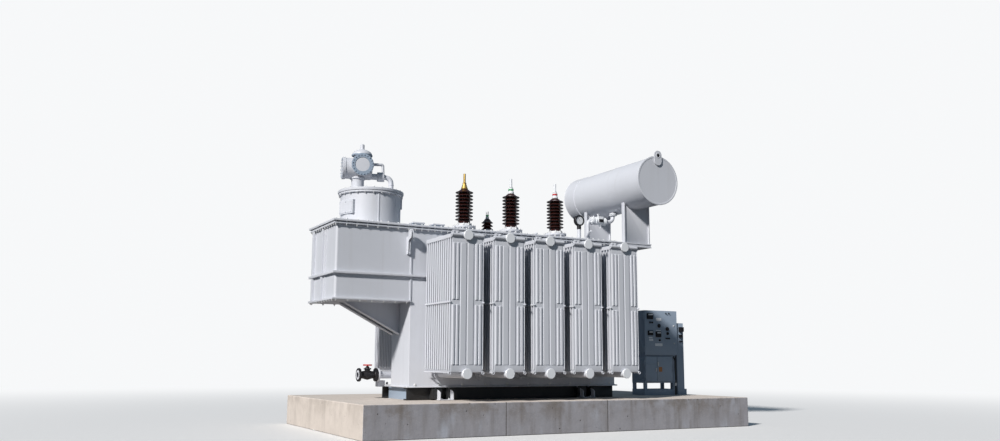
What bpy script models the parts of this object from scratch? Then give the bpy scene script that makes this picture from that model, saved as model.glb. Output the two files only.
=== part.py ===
"""Oil-filled power transformer on its concrete plinth.

The long side runs along X, with the side box and its turret at -X, the conservator and
the control cabinets at +X. The front radiator bank faces -Y. The origin is the middle of
the overall footprint, on the ground.
"""
import math

import bpy
import bmesh
from mathutils import Matrix, Vector

# Driving dimensions, in metres

SEAT_GAP = 0.0003            # gap left where two welded or bolted pieces meet

PLINTH_FRONT_MARGIN = 0.95   # plinth edge to tank wall, radiator side
PLINTH_REAR_MARGIN = 1.60
PLINTH_LEFT_MARGIN = 1.01
PLINTH_RIGHT_MARGIN = 1.96
PLINTH_HEIGHT = 0.46
PLINTH_CHAMFER = 0.015

SKID_HEIGHT = 0.18
SKID_WIDTH = 0.12
SKID_FLANGE = 0.018
SKID_INSET = 0.06            # skid beam behind the tank wall
JACK_LUG_LENGTH = 0.15
JACK_LUG_REACH = 0.12
JACK_LUG_INSET = 0.43        # first lug from the tank end
JACK_LUG_PITCH = 0.24

TANK_LENGTH = 3.60
TANK_DEPTH = 1.10
TANK_HEIGHT = 2.33
TANK_CHAMFER_DEPTH = 0.42    # cut corner at the back, left
TANK_CHAMFER_LENGTH = 0.25
BASE_PLATE_THICKNESS = 0.02
BASE_PLATE_OVERHANG = 0.035
UPPER_HEIGHT = 0.7047        # tank wall above the bolted rim
RIM_THICKNESS = 0.035
RIM_OVERHANG = 0.045
COVER_THICKNESS = 0.03
COVER_OVERHANG = 0.06

BOX_PROJECTION = 1.14        # side box beyond the tank wall
BOX_BELOW_RIM = 0.335        # side box floor below the bolted rim
BOX_FLOOR_THICKNESS = 0.03
BOX_FLOOR_OVERHANG = 0.04
GUSSET_LENGTH = 0.86
GUSSET_HEIGHT = 0.44
GUSSET_THICKNESS = 0.02
GUSSET_SPACING = 0.26
GUSSET_FLANGE_WIDTH = 0.10

HOOK_HEIGHT = 0.37
HOOK_REACH = 0.17
HOOK_THICKNESS = 0.04
HOOK_ARM = 0.06
HOOK_INSET = 0.03            # hook from the line of the tank's end walls
HOOK_DROP = 0.05             # hook top below the cover

RADIATOR_COUNT = 5
RADIATOR_FIRST = 0.477       # first radiator from the tank wall at -X
RADIATOR_PITCH = 0.671
PANEL_COUNT = 12
PANEL_WIDTH = 0.52
PANEL_HEIGHT = 1.895
PANEL_THICKNESS = 0.014
PANEL_PITCH = 0.0725
PANEL_FIRST = 0.09           # first panel from the tank wall
PANEL_OVER_BASE = 0.23       # panel bottom above the tank base
HEADER_RADIUS = 0.062
HEADER_SPACING = 1.92        # between the upper and the lower header axis
HEADER_DROP = 0.023          # lower header axis below the panel's bottom edge
HEADER_CAP = 0.06            # header end beyond the last panel
HEADER_SIDES = 8
HEADER_FLANGE_RADIUS = 0.10
HEADER_FLANGE_THICKNESS = 0.035
HEADER_FLANGE_OFFSET = 0.03

TURRET_RADIUS = 0.45
TURRET_HEIGHT = 0.485
TURRET_CENTRE = 0.445        # turret axis from the tank wall
TURRET_COVER_RADIUS = 0.492
TURRET_COVER_THICKNESS = 0.045
ROUND_SIDES = 32

HEAD_OFFSET = 0.215          # drive head's pedestal from the turret axis
HEAD_TURN = 12.7             # degrees that the head is turned on its pedestal
HEAD_PEDESTAL_RADIUS = 0.094
HEAD_PEDESTAL_HEIGHT = 0.184
HEAD_RADIUS = 0.158          # horizontal housing
HEAD_LEFT_REACH = 0.19       # housing beyond the pedestal, to its end flange
HEAD_RIGHT_REACH = 0.20
HEAD_END_RADIUS = 0.168
HEAD_END_THICKNESS = 0.05
HEAD_COVER_RADIUS = 0.167    # round cover on the front branch
HEAD_COVER_THICKNESS = 0.04
HEAD_COVER_REACH = 0.21
HEAD_COVER_ALONG = 0.045
HEAD_COVER_RISE = 0.03
HEAD_BRANCH_RADIUS = 0.13
HEAD_CAP_ALONG = 0.055       # rain cap above the housing
HEAD_CAP_RADIUS = 0.152
HEAD_CAP_HEIGHT = 0.09
HEAD_CAP_RISE = 0.21         # rain cap's rim above the housing axis
HEAD_NECK_RADIUS = 0.11
HEAD_POST_RADIUS = 0.033
HEAD_POST_HEIGHT = 0.085
HEAD_ROOT_SHARE = 0.4        # depth, as a share of the housing, at which branches start

HEAD_PIPE_RADIUS = 0.037
HEAD_PIPE_DROP = 0.106       # pipe axis below the housing axis
HEAD_PIPE_FLANGE_RADIUS = 0.072
HEAD_PIPE_FLANGE_THICKNESS = 0.045
HEAD_PIPE_FLANGE_ALONG = 0.345   # joint of the two flanges, from the pedestal
HEAD_PIPE_REACH = 0.505
HEAD_NOZZLE_RADIUS = 0.046

BUSHING_COUNT = 3
BUSHING_MIDDLE = 1.975       # middle bushing from the tank wall at -X
BUSHING_PITCH = 0.85
BUSHING_TURRET_RADIUS = 0.155
BUSHING_TURRET_HEIGHT = 0.10
BUSHING_FLANGE_RADIUS = 0.185
BUSHING_FLANGE_THICKNESS = 0.03
BUSHING_NECK_HEIGHT = 0.11
BUSHING_NECK_RADIUS = 0.095
SHED_COUNT = 8
SHED_PITCH = 0.058
SHED_RADIUS = 0.137
SHED_CORE_RADIUS = 0.085
SHED_LIP = 0.02
BUSHING_CAP_RADIUS = 0.07
BUSHING_CAP_HEIGHT = 0.15
BUSHING_STUD_RADIUS = 0.02
BUSHING_STUD_HEIGHT = 0.14
BUSHING_SIDES = 12

NEUTRAL_ALONG = 1.67
NEUTRAL_BEHIND = 0.25        # neutral bushing behind the tank's middle line
NEUTRAL_BASE_HEIGHT = 0.15
NEUTRAL_BASE_RADIUS = 0.10
NEUTRAL_SHED_COUNT = 3
NEUTRAL_SHED_PITCH = 0.055
NEUTRAL_SHED_RADIUS = 0.095
NEUTRAL_CORE_RADIUS = 0.055
NEUTRAL_STUD_RADIUS = 0.022
NEUTRAL_STUD_HEIGHT = 0.14

HATCH_WIDTH = 0.20
HATCH_DEPTH = 0.16
HATCH_HEIGHT = 0.07
HATCH_FIRST = 0.16
HATCH_PITCH = 0.33
HATCH_FROM_FRONT = 0.18

CONSERVATOR_RADIUS = 0.40
CONSERVATOR_LENGTH = 2.20
CONSERVATOR_WALL = 0.008
CONSERVATOR_ALONG = 0.535    # axis beyond the tank wall at +X
CONSERVATOR_OVER_COVER = 0.985
CONSERVATOR_END_THICKNESS = 0.016
CONSERVATOR_END_RIM = 0.012
LUG_WIDTH = 0.15
LUG_HEIGHT = 0.25
LUG_THICKNESS = 0.02
LUG_HOLE_RADIUS = 0.025
LUG_RISE = 0.10              # lug top above the shell

PLATFORM_LENGTH = 0.80       # beyond the tank wall at +X
PLATFORM_THICKNESS = 0.065
PLATFORM_REAR = 0.20         # beyond the tank's rear wall
PLATFORM_BRACKET_HEIGHT = 0.45
PLATFORM_BRACKET_LENGTH = 0.60
PLATFORM_BRACKET_THICKNESS = 0.02
SADDLE_WIDTH = 0.53
SADDLE_THICKNESS = 0.02
SADDLE_FLANGE_WIDTH = 0.075
SADDLE_WRAP = 0.10           # saddle ends above the shell's lowest line
SADDLE_FRONT = 0.06          # front saddle behind the tank's front wall
SADDLE_SPACING = 1.14

GAUGE_FROM_END = 0.46        # from the tank wall at +X
GAUGE_FROM_FRONT = 0.30
GAUGE_RADIUS = 0.092
GAUGE_DEPTH = 0.06
GAUGE_STALK_RADIUS = 0.032
GAUGE_OVER_COVER = 0.35

RELAY_FROM_FRONT = 0.55
RELAY_BEYOND_END = 0.044     # relay body beyond the tank wall at +X
RELAY_RADIUS = 0.07
RELAY_LENGTH = 0.16
RELAY_PIPE_RADIUS = 0.035
RELAY_PIPE_SIDE = 0.12       # pipe into the conservator, off its axis
RELAY_OVER_COVER = 0.42

VALVE_FROM_REAR = 0.21
VALVE_OVER_BASE = 0.17
VALVE_PIPE_RADIUS = 0.055
VALVE_PIPE_END = 0.15        # pipe flange beyond the tank wall plane
VALVE_BODY_LENGTH = 0.30
VALVE_BODY_RADIUS = 0.075
VALVE_FLANGE_RADIUS = 0.10
VALVE_FLANGE_THICKNESS = 0.03
VALVE_BONNET_RADIUS = 0.032
VALVE_BONNET_HEIGHT = 0.13
VALVE_WAIST_RADIUS = 0.0525
HANDWHEEL_RADIUS = 0.068
HANDWHEEL_RIM = 0.009
HANDWHEEL_CLEARANCE = 0.006
HANDWHEEL_HUB_RADIUS = 0.016
SPOKE_HALF_WIDTH = 0.0063

CABINET_ALONG = 0.91         # cabinet's left wall beyond the tank wall at +X
CABINET_FROM_FRONT = 0.36
CABINET_WIDTH = 0.70
CABINET_HEIGHT = 0.765
CABINET_DEPTH = 0.36
CABINET_UNDERSIDE = 0.68     # above the plinth
CABINET_WALL = 0.02
DOOR_THICKNESS = 0.022
DOOR_CLEARANCE = 0.006
HINGE_OFFSET = 0.014         # hinge pin beyond the door's edge
HINGE_RADIUS = 0.008
HINGE_KNUCKLE = 0.05
HINGE_MARGIN = 0.05          # hinge from the door's top and bottom
HINGE_LEAF = 0.03
HINGE_ARM_CLEARANCE = 0.0035 # fixed arm from the door's edge
HINGE_ARM_INSET = 0.005      # leaf ends below the knuckle's ends
LOWER_CABINET_WIDTH = 0.58
LOWER_CABINET_HEIGHT = 0.42
LOWER_CABINET_UNDERSIDE = 0.235
LOWER_DOOR_SHARE = 0.43      # left door's share of the lower cabinet's width
STAND_LEG = 0.05
STAND_SHELF_THICKNESS = 0.03
STAND_BASE_HEIGHT = 0.10
STAND_INSET = 0.004          # legs and posts behind the shelf edges
COLUMN_WIDTH = 0.155
COLUMN_DEPTH = 0.20
COLUMN_HEIGHT = 1.24
COLUMN_GAP = 0.008
COLUMN_BASE_HEIGHT = 0.10
CONDUIT_RADIUS = 0.018
CONDUIT_CLEARANCE = 0.0045   # conduit from the stand's post

# Places that follow from the sizes

left_reach = BOX_PROJECTION + COVER_OVERHANG
right_reach = TANK_LENGTH + PLINTH_RIGHT_MARGIN
TANK_X = (left_reach - right_reach) / 2
PLINTH_DEPTH = PLINTH_FRONT_MARGIN + TANK_DEPTH + PLINTH_REAR_MARGIN
TANK_Y = -PLINTH_DEPTH / 2 + PLINTH_FRONT_MARGIN
TANK_Z = PLINTH_HEIGHT + SKID_HEIGHT + 2 * SEAT_GAP
TANK_RIGHT = TANK_X + TANK_LENGTH
TANK_REAR = TANK_Y + TANK_DEPTH
MIDDLE_Y = TANK_Y + TANK_DEPTH / 2
BOX_X = TANK_X - BOX_PROJECTION
UPPER_TOP = TANK_Z + TANK_HEIGHT
UPPER_Z = UPPER_TOP - UPPER_HEIGHT
RIM_Z = UPPER_Z - SEAT_GAP - RIM_THICKNESS
COVER_Z = UPPER_TOP + SEAT_GAP
COVER_TOP = COVER_Z + COVER_THICKNESS
BOX_FLOOR_TOP = RIM_Z - BOX_BELOW_RIM

COLOURS = {
    "paint": ((0.62, 0.64, 0.67), 0.45, 0.0),
    "concrete": ((0.55, 0.51, 0.44), 0.9, 0.0),
    "porcelain": ((0.12, 0.035, 0.02), 0.2, 0.0),
    "iron": ((0.03, 0.03, 0.035), 0.5, 0.6),
    "red": ((0.5, 0.03, 0.03), 0.4, 0.0),
    "cabinet": ((0.20, 0.25, 0.31), 0.45, 0.0),
    "rubber": ((0.02, 0.02, 0.02), 0.8, 0.0),
}


def clear_scene():
    for obj in list(bpy.data.objects):
        bpy.data.objects.remove(obj, do_unlink=True)


def new_collection(name):
    collection = bpy.data.collections.new(name)
    bpy.context.scene.collection.children.link(collection)
    return collection


clear_scene()
PARTS = new_collection("power_transformer")
TOOLS = new_collection("cutters")


def material_for(name, finish):
    colour, roughness, metallic = COLOURS[finish]
    material = bpy.data.materials.new(name)
    material.use_nodes = True
    shader = material.node_tree.nodes["Principled BSDF"]
    shader.inputs["Base Color"].default_value = (*colour, 1.0)
    shader.inputs["Roughness"].default_value = roughness
    shader.inputs["Metallic"].default_value = metallic
    return material


def part(name, mesh, finish, place=(0.0, 0.0, 0.0)):
    """An object of the transformer; without a finish it is a tool for a Boolean."""
    obj = bpy.data.objects.new(name, mesh)
    obj.location = place
    if finish:
        if not mesh.materials:
            mesh.materials.append(material_for(name, finish))
        PARTS.objects.link(obj)
    else:
        TOOLS.objects.link(obj)
        obj.hide_render = True
        obj.display_type = "WIRE"
    return obj


def box_mesh(name, low, high, chamfer=0.0):
    low, high = Vector(low), Vector(high)
    bm = bmesh.new()
    bmesh.ops.create_cube(bm, size=1.0)
    bmesh.ops.scale(bm, vec=high - low, verts=bm.verts)
    bmesh.ops.translate(bm, vec=(low + high) / 2, verts=bm.verts)
    if chamfer:
        bmesh.ops.bevel(bm, geom=bm.edges[:], offset=chamfer, segments=1, profile=0.5, affect="EDGES")
    mesh = bpy.data.meshes.new(name)
    bm.to_mesh(mesh)
    bm.free()
    return mesh


def box(name, low, high, finish=None, chamfer=0.0):
    return part(name, box_mesh(name, low, high, chamfer), finish)


def plate(name, outline, thickness, finish=None, plane="XY", start=0.0):
    """A flat outline given thickness from start along the axis normal to its plane."""
    curve = bpy.data.curves.new(name, "CURVE")
    curve.dimensions = "2D"
    curve.fill_mode = "BOTH"
    curve.extrude = thickness / 2
    spline = curve.splines.new("POLY")
    spline.points.add(len(outline) - 1)
    for point, (u, v) in zip(spline.points, outline):
        point.co = (u, v, 0.0, 1.0)
    spline.use_cyclic_u = True
    middle = start + thickness / 2
    if plane == "XY":
        matrix = Matrix.Translation((0, 0, middle))
    elif plane == "XZ":
        matrix = Matrix.Translation((0, middle, 0)) @ Matrix.Rotation(math.radians(90), 4, "X")
    else:
        swap = Matrix(((0, 0, 1, 0), (1, 0, 0, 0), (0, 1, 0, 0), (0, 0, 0, 1)))
        matrix = Matrix.Translation((middle, 0, 0)) @ swap
    return as_mesh(name, curve, matrix, finish)


def as_mesh(name, curve, matrix, finish):
    """The welded mesh of a curve, placed in the world."""
    carrier = bpy.data.objects.new(name + "_curve", curve)
    TOOLS.objects.link(carrier)
    bpy.context.view_layer.update()
    evaluated = carrier.evaluated_get(bpy.context.evaluated_depsgraph_get())
    mesh = bpy.data.meshes.new_from_object(evaluated)
    bm = bmesh.new()
    bm.from_mesh(mesh)
    bmesh.ops.transform(bm, matrix=matrix, verts=bm.verts)
    bmesh.ops.remove_doubles(bm, verts=bm.verts, dist=0.00001)
    bmesh.ops.recalc_face_normals(bm, faces=bm.faces)
    bm.to_mesh(mesh)
    bm.free()
    bpy.data.objects.remove(carrier, do_unlink=True)
    mesh.name = name
    mesh.materials.clear()
    return part(name, mesh, finish)


def tube(name, route, radius, finish=None):
    """A pipe along a smooth route."""
    curve = bpy.data.curves.new(name, "CURVE")
    curve.dimensions = "3D"
    curve.bevel_depth = radius
    curve.bevel_resolution = 2
    curve.use_fill_caps = True
    spline = curve.splines.new("POLY")
    spline.points.add(len(route) - 1)
    for point, place in zip(spline.points, route):
        point.co = (*place, 1.0)
    return as_mesh(name, curve, Matrix(), finish)


def bend(start, corner, end, radius, steps=4):
    """Points of a rounded corner between two straight runs."""
    start, corner, end = Vector(start), Vector(corner), Vector(end)
    first = corner + (start - corner).normalized() * radius
    last = corner + (end - corner).normalized() * radius
    points = []
    for step in range(steps + 1):
        t = step / steps
        points.append(first * (1 - t) ** 2 + corner * 2 * t * (1 - t) + last * t ** 2)
    return points


AXIS_TURN = {
    "Z": Matrix(),
    "X": Matrix.Rotation(math.radians(90), 4, "Y"),
    "-X": Matrix.Rotation(math.radians(-90), 4, "Y"),
    "Y": Matrix.Rotation(math.radians(-90), 4, "X"),
    "-Y": Matrix.Rotation(math.radians(90), 4, "X"),
}


def turned(name, profile, place, finish=None, axis="Z", sides=ROUND_SIDES):
    """A turned piece; its profile of (radius, height) runs from top to bottom."""
    mesh = bpy.data.meshes.new(name)
    bm = bmesh.new()
    verts = [bm.verts.new((radius, 0.0, height)) for radius, height in profile]
    for upper, lower in zip(verts, verts[1:]):
        bm.edges.new((upper, lower))
    bm.to_mesh(mesh)
    bm.free()
    obj = part(name, mesh, finish)
    obj.matrix_world = Matrix.Translation(place) @ AXIS_TURN[axis]
    screw = obj.modifiers.new("turned", "SCREW")
    screw.axis = "Z"
    screw.steps = sides
    screw.render_steps = sides
    screw.use_merge_vertices = True
    screw.merge_threshold = 0.0001
    return obj


def disc(name, radius, thickness, place, finish=None, axis="Z", sides=ROUND_SIDES):
    profile = [(0, thickness), (radius, thickness), (radius, 0), (0, 0)]
    return turned(name, profile, place, finish, axis, sides)


def unite(base, *others):
    for other in others:
        joint = base.modifiers.new("joined", "BOOLEAN")
        joint.operation = "UNION"
        joint.solver = "EXACT"
        joint.object = other
    return base


def cut(base, *others):
    for other in others:
        hole = base.modifiers.new("cut", "BOOLEAN")
        hole.operation = "DIFFERENCE"
        hole.solver = "EXACT"
        hole.object = other
    return base


# Plinth and skid

def make_plinth():
    low = (TANK_X - PLINTH_LEFT_MARGIN, TANK_Y - PLINTH_FRONT_MARGIN, 0)
    high = (TANK_RIGHT + PLINTH_RIGHT_MARGIN, TANK_REAR + PLINTH_REAR_MARGIN, PLINTH_HEIGHT)
    box("concrete_plinth", low, high, "concrete", PLINTH_CHAMFER)


def make_skid(name, wall_y, outward):
    """A channel beam along the tank with jacking lugs on its outer side."""
    z0 = PLINTH_HEIGHT + SEAT_GAP
    z1 = z0 + SKID_HEIGHT
    outer = wall_y - outward * SKID_INSET
    inner = outer - outward * SKID_WIDTH
    web = outer - outward * SKID_FLANGE
    outline = [(outer, z0), (outer, z1), (inner, z1), (inner, z1 - SKID_FLANGE),
               (web, z1 - SKID_FLANGE), (web, z0 + SKID_FLANGE), (inner, z0 + SKID_FLANGE), (inner, z0)]
    beam = plate(name, outline, TANK_LENGTH, "paint", "YZ", TANK_X)
    starts = [JACK_LUG_INSET - JACK_LUG_LENGTH / 2, JACK_LUG_INSET + JACK_LUG_PITCH - JACK_LUG_LENGTH / 2]
    starts += [TANK_LENGTH - start - JACK_LUG_LENGTH for start in starts]
    lugs = []
    for number, start in enumerate(starts):
        tip = outer + outward * JACK_LUG_REACH
        root = web + outward * SKID_FLANGE / 2
        low = (TANK_X + start, min(root, tip), z0 + SKID_FLANGE)
        high = (TANK_X + start + JACK_LUG_LENGTH, max(root, tip), z1 - SKID_FLANGE)
        lugs.append(box(f"{name}_lug_{number}", low, high))
    unite(beam, *lugs)


def make_cross_beams():
    """The beams that tie the two skids together under the tank's ends."""
    y0 = TANK_Y + SKID_INSET + SKID_WIDTH + SEAT_GAP
    y1 = TANK_REAR - SKID_INSET - SKID_WIDTH - SEAT_GAP
    z0 = PLINTH_HEIGHT + SEAT_GAP
    z1 = z0 + SKID_HEIGHT
    left = TANK_X + SKID_INSET
    right = TANK_RIGHT - SKID_INSET - SKID_WIDTH
    for name, x in (("cross_beam_left", left), ("cross_beam_right", right)):
        box(name, (x, y0, z0), (x + SKID_WIDTH, y1, z1), "paint")


# Tank, side box and cover

def tank_outline(grow):
    """The lower tank's plan, with its cut corner at the back left."""
    x0, x1 = TANK_X - grow, TANK_RIGHT + grow
    y0, y1 = TANK_Y - grow, TANK_REAR + grow
    return [(x0, y0), (x1, y0), (x1, y1), (TANK_X + TANK_CHAMFER_LENGTH, y1),
            (x0, TANK_REAR - TANK_CHAMFER_DEPTH)]


def make_tank():
    lower = plate("tank_lower", tank_outline(0), RIM_Z - SEAT_GAP - TANK_Z, "paint", "XY", TANK_Z)
    outline = tank_outline(BASE_PLATE_OVERHANG)
    base = plate("tank_base_plate", outline, BASE_PLATE_THICKNESS, None, "XY", TANK_Z)
    unite(lower, base)

    low = (BOX_X - RIM_OVERHANG, TANK_Y - RIM_OVERHANG, RIM_Z)
    high = (TANK_RIGHT + RIM_OVERHANG, TANK_REAR + RIM_OVERHANG, RIM_Z + RIM_THICKNESS)
    box("tank_rim", low, high, "paint")

    upper = box("tank_upper", (TANK_X, TANK_Y, UPPER_Z), (TANK_RIGHT, TANK_REAR, UPPER_TOP), "paint")
    add_hooks(upper, TANK_RIGHT - HOOK_INSET - HOOK_THICKNESS)

    low = (BOX_X - COVER_OVERHANG, TANK_Y - COVER_OVERHANG, COVER_Z)
    high = (TANK_RIGHT + COVER_OVERHANG, TANK_REAR + COVER_OVERHANG, COVER_TOP)
    box("tank_cover", low, high, "paint")


def add_hooks(wall, x):
    """Lifting hooks on the front and rear of a wall section."""
    unite(wall, hook_tool("hook_front", x, TANK_Y, -1), hook_tool("hook_rear", x, TANK_REAR, 1))


def hook_tool(name, x, wall_y, outward):
    top = UPPER_TOP - HOOK_DROP
    root = wall_y - outward * HOOK_ARM
    outline = [(root, top - HOOK_HEIGHT), (wall_y + outward * HOOK_ARM / 2, top - HOOK_HEIGHT),
               (wall_y + outward * HOOK_ARM, top - HOOK_HEIGHT * 0.4),
               (wall_y + outward * (HOOK_REACH - HOOK_ARM / 2), top - HOOK_HEIGHT * 0.3),
               (wall_y + outward * HOOK_REACH, top - HOOK_HEIGHT * 0.15),
               (wall_y + outward * (HOOK_REACH - HOOK_ARM), top),
               (root, top)]
    return plate(name, outline, HOOK_THICKNESS, None, "YZ", x)


def make_side_box():
    right = TANK_X - SEAT_GAP
    top = RIM_Z - SEAT_GAP
    outline = [(BOX_X, TANK_Y), (right, TANK_Y), (right, TANK_REAR - TANK_CHAMFER_DEPTH),
               (TANK_X + TANK_CHAMFER_LENGTH - SEAT_GAP, TANK_REAR), (BOX_X, TANK_REAR)]
    plate("side_box_lower", outline, top - BOX_FLOOR_TOP - SEAT_GAP, "paint", "XY", BOX_FLOOR_TOP + SEAT_GAP)
    upper = box("side_box_upper", (BOX_X, TANK_Y, UPPER_Z), (right, TANK_REAR, UPPER_TOP), "paint")
    add_hooks(upper, TANK_X - HOOK_INSET - HOOK_THICKNESS)

    under = BOX_FLOOR_TOP - BOX_FLOOR_THICKNESS
    low = (BOX_X - BOX_FLOOR_OVERHANG, TANK_Y - BOX_FLOOR_OVERHANG, under)
    high = (right, TANK_REAR + BOX_FLOOR_OVERHANG, BOX_FLOOR_TOP)
    floor = box("side_box_floor", low, high, "paint")
    ribs = []
    root = under + SEAT_GAP
    foot = under - GUSSET_HEIGHT
    tip = right - GUSSET_LENGTH
    for number, side in enumerate((-1, 1)):
        y = MIDDLE_Y + side * GUSSET_SPACING / 2
        outline = [(right, root), (right, foot), (tip, root)]
        ribs.append(plate(f"gusset_{number}", outline, GUSSET_THICKNESS, None, "XZ",
                          y - GUSSET_THICKNESS / 2))
        outline = [(right, foot), (right, foot - GUSSET_THICKNESS),
                   (tip - GUSSET_THICKNESS, root), (tip, root)]
        ribs.append(plate(f"gusset_flange_{number}", outline, GUSSET_FLANGE_WIDTH, None, "XZ",
                          y - GUSSET_FLANGE_WIDTH / 2))
    unite(floor, *ribs)


# Radiators

def radiator_mesh():
    """One radiator on the -Y side of a wall at y = 0, panel bottoms at z = 0."""
    panels = bmesh.new()
    for number in range(PANEL_COUNT):
        made = bmesh.ops.create_cube(panels, size=1.0)["verts"]
        bmesh.ops.scale(panels, vec=(PANEL_WIDTH, PANEL_THICKNESS, PANEL_HEIGHT), verts=made)
        place = (0, -PANEL_FIRST - number * PANEL_PITCH, PANEL_HEIGHT / 2)
        bmesh.ops.translate(panels, vec=place, verts=made)
    mesh = bpy.data.meshes.new("radiator_panels")
    panels.to_mesh(mesh)
    panels.free()
    body = part("radiator_pattern", mesh, None)
    reach = PANEL_FIRST + (PANEL_COUNT - 1) * PANEL_PITCH + HEADER_CAP
    inner = HEADER_FLANGE_OFFSET + HEADER_FLANGE_THICKNESS
    profile = [(0, reach), (HEADER_RADIUS, reach), (HEADER_RADIUS, inner), (HEADER_FLANGE_RADIUS, inner),
               (HEADER_FLANGE_RADIUS, HEADER_FLANGE_OFFSET), (HEADER_RADIUS, HEADER_FLANGE_OFFSET),
               (HEADER_RADIUS, SEAT_GAP), (0, SEAT_GAP)]
    for number, z in enumerate((HEADER_SPACING - HEADER_DROP, -HEADER_DROP)):
        header = turned(f"radiator_header_{number}", profile, (0, 0, z), None, "-Y", HEADER_SIDES)
        unite(body, header)
    bpy.context.view_layer.update()
    evaluated = body.evaluated_get(bpy.context.evaluated_depsgraph_get())
    return bpy.data.meshes.new_from_object(evaluated)


def make_radiators():
    mesh = radiator_mesh()
    mesh.materials.clear()
    for number in range(RADIATOR_COUNT):
        x = TANK_X + RADIATOR_FIRST + number * RADIATOR_PITCH
        z = TANK_Z + PANEL_OVER_BASE
        part(f"radiator_front_{number + 1}", mesh, "paint", (x, TANK_Y, z))
        rear = part(f"radiator_rear_{number + 1}", mesh, "paint", (x, TANK_REAR, z))
        rear.rotation_euler = (0, 0, math.pi)


# Turret and drive head

def make_turret():
    x = TANK_X - TURRET_CENTRE
    z = COVER_TOP + SEAT_GAP
    disc("turret_body", TURRET_RADIUS, TURRET_HEIGHT, (x, MIDDLE_Y, z), "paint")
    top = z + TURRET_HEIGHT + SEAT_GAP
    disc("turret_cover", TURRET_COVER_RADIUS, TURRET_COVER_THICKNESS, (x, MIDDLE_Y, top), "paint")
    return top + TURRET_COVER_THICKNESS


def head_profile():
    """The rain cap with its post and neck, about the housing axis."""
    top = HEAD_CAP_RISE + HEAD_CAP_HEIGHT
    points = [(0, top + HEAD_POST_HEIGHT), (HEAD_POST_RADIUS, top + HEAD_POST_HEIGHT)]
    for angle in (70, 45, 20, 0):
        turn = math.radians(angle)
        points.append((HEAD_CAP_RADIUS * math.cos(turn), HEAD_CAP_RISE + HEAD_CAP_HEIGHT * math.sin(turn)))
    root = HEAD_RADIUS * HEAD_ROOT_SHARE
    return points + [(HEAD_NECK_RADIUS, HEAD_CAP_RISE), (HEAD_NECK_RADIUS, root), (0, root)]


def make_head(base_z):
    """The head on its pedestal: a flanged housing, a round front cover, a rain cap and a pipe."""
    z = base_z + SEAT_GAP
    axis_z = z + HEAD_PEDESTAL_HEIGHT + HEAD_RADIUS
    pivot = Vector((TANK_X - TURRET_CENTRE - HEAD_OFFSET, MIDDLE_Y, axis_z))
    turn = Matrix.Translation(pivot) @ Matrix.Rotation(math.radians(-HEAD_TURN), 4, "Z")
    root = HEAD_RADIUS * HEAD_ROOT_SHARE

    length = HEAD_LEFT_REACH + HEAD_END_THICKNESS + HEAD_RIGHT_REACH
    flange = length - HEAD_END_THICKNESS
    profile = [(0, length), (HEAD_END_RADIUS, length), (HEAD_END_RADIUS, flange), (HEAD_RADIUS, flange),
               (HEAD_RADIUS, 0), (0, 0)]
    housing = turned("drive_head", profile, (HEAD_RIGHT_REACH, 0, 0), "paint", "-X", 20)
    pedestal = disc("head_pedestal", HEAD_PEDESTAL_RADIUS, HEAD_PEDESTAL_HEIGHT + HEAD_RADIUS - root,
                    (0, 0, z - axis_z), None, "Z", 14)
    back = HEAD_COVER_REACH - HEAD_COVER_THICKNESS
    profile = [(0, HEAD_COVER_REACH), (HEAD_COVER_RADIUS, HEAD_COVER_REACH), (HEAD_COVER_RADIUS, back),
               (HEAD_BRANCH_RADIUS, back), (HEAD_BRANCH_RADIUS, root), (0, root)]
    branch = turned("head_branch", profile, (HEAD_COVER_ALONG, 0, HEAD_COVER_RISE), None, "-Y", 18)
    cap = turned("head_cap", head_profile(), (HEAD_CAP_ALONG, 0, 0), None, "Z", 16)
    near = HEAD_PIPE_FLANGE_ALONG - SEAT_GAP
    back = near - HEAD_PIPE_FLANGE_THICKNESS
    profile = [(0, near), (HEAD_PIPE_FLANGE_RADIUS, near), (HEAD_PIPE_FLANGE_RADIUS, back),
               (HEAD_NOZZLE_RADIUS, back), (HEAD_NOZZLE_RADIUS, root), (0, root)]
    nozzle = turned("head_nozzle", profile, (0, 0, -HEAD_PIPE_DROP), None, "X", 12)
    for piece in (housing, pedestal, branch, cap, nozzle):
        piece.matrix_world = turn @ piece.matrix_world
    unite(housing, pedestal, branch, cap, nozzle)

    start = turn @ Vector((HEAD_PIPE_FLANGE_ALONG, 0, -HEAD_PIPE_DROP))
    corner = turn @ Vector((HEAD_PIPE_REACH, 0, -HEAD_PIPE_DROP))
    foot = Vector((corner.x, corner.y, z))
    route = [start] + bend(start, corner, foot, HEAD_PIPE_RADIUS * 3) + [foot]
    pipe = tube("head_pipe", route, HEAD_PIPE_RADIUS, "paint")
    flange = disc("pipe_flange", HEAD_PIPE_FLANGE_RADIUS, HEAD_PIPE_FLANGE_THICKNESS,
                  (HEAD_PIPE_FLANGE_ALONG, 0, -HEAD_PIPE_DROP), None, "X", 14)
    flange.matrix_world = turn @ flange.matrix_world
    unite(pipe, flange)


# Bushings

def shed_profile(count, pitch, radius, core, top):
    """Sheds from the top down: each slopes out to its lip and runs back under."""
    points = []
    for number in range(count):
        level = top - number * pitch
        points += [(core, level), (radius, level - pitch + SHED_LIP), (core, level - pitch + SHED_LIP / 4)]
    return points


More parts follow.
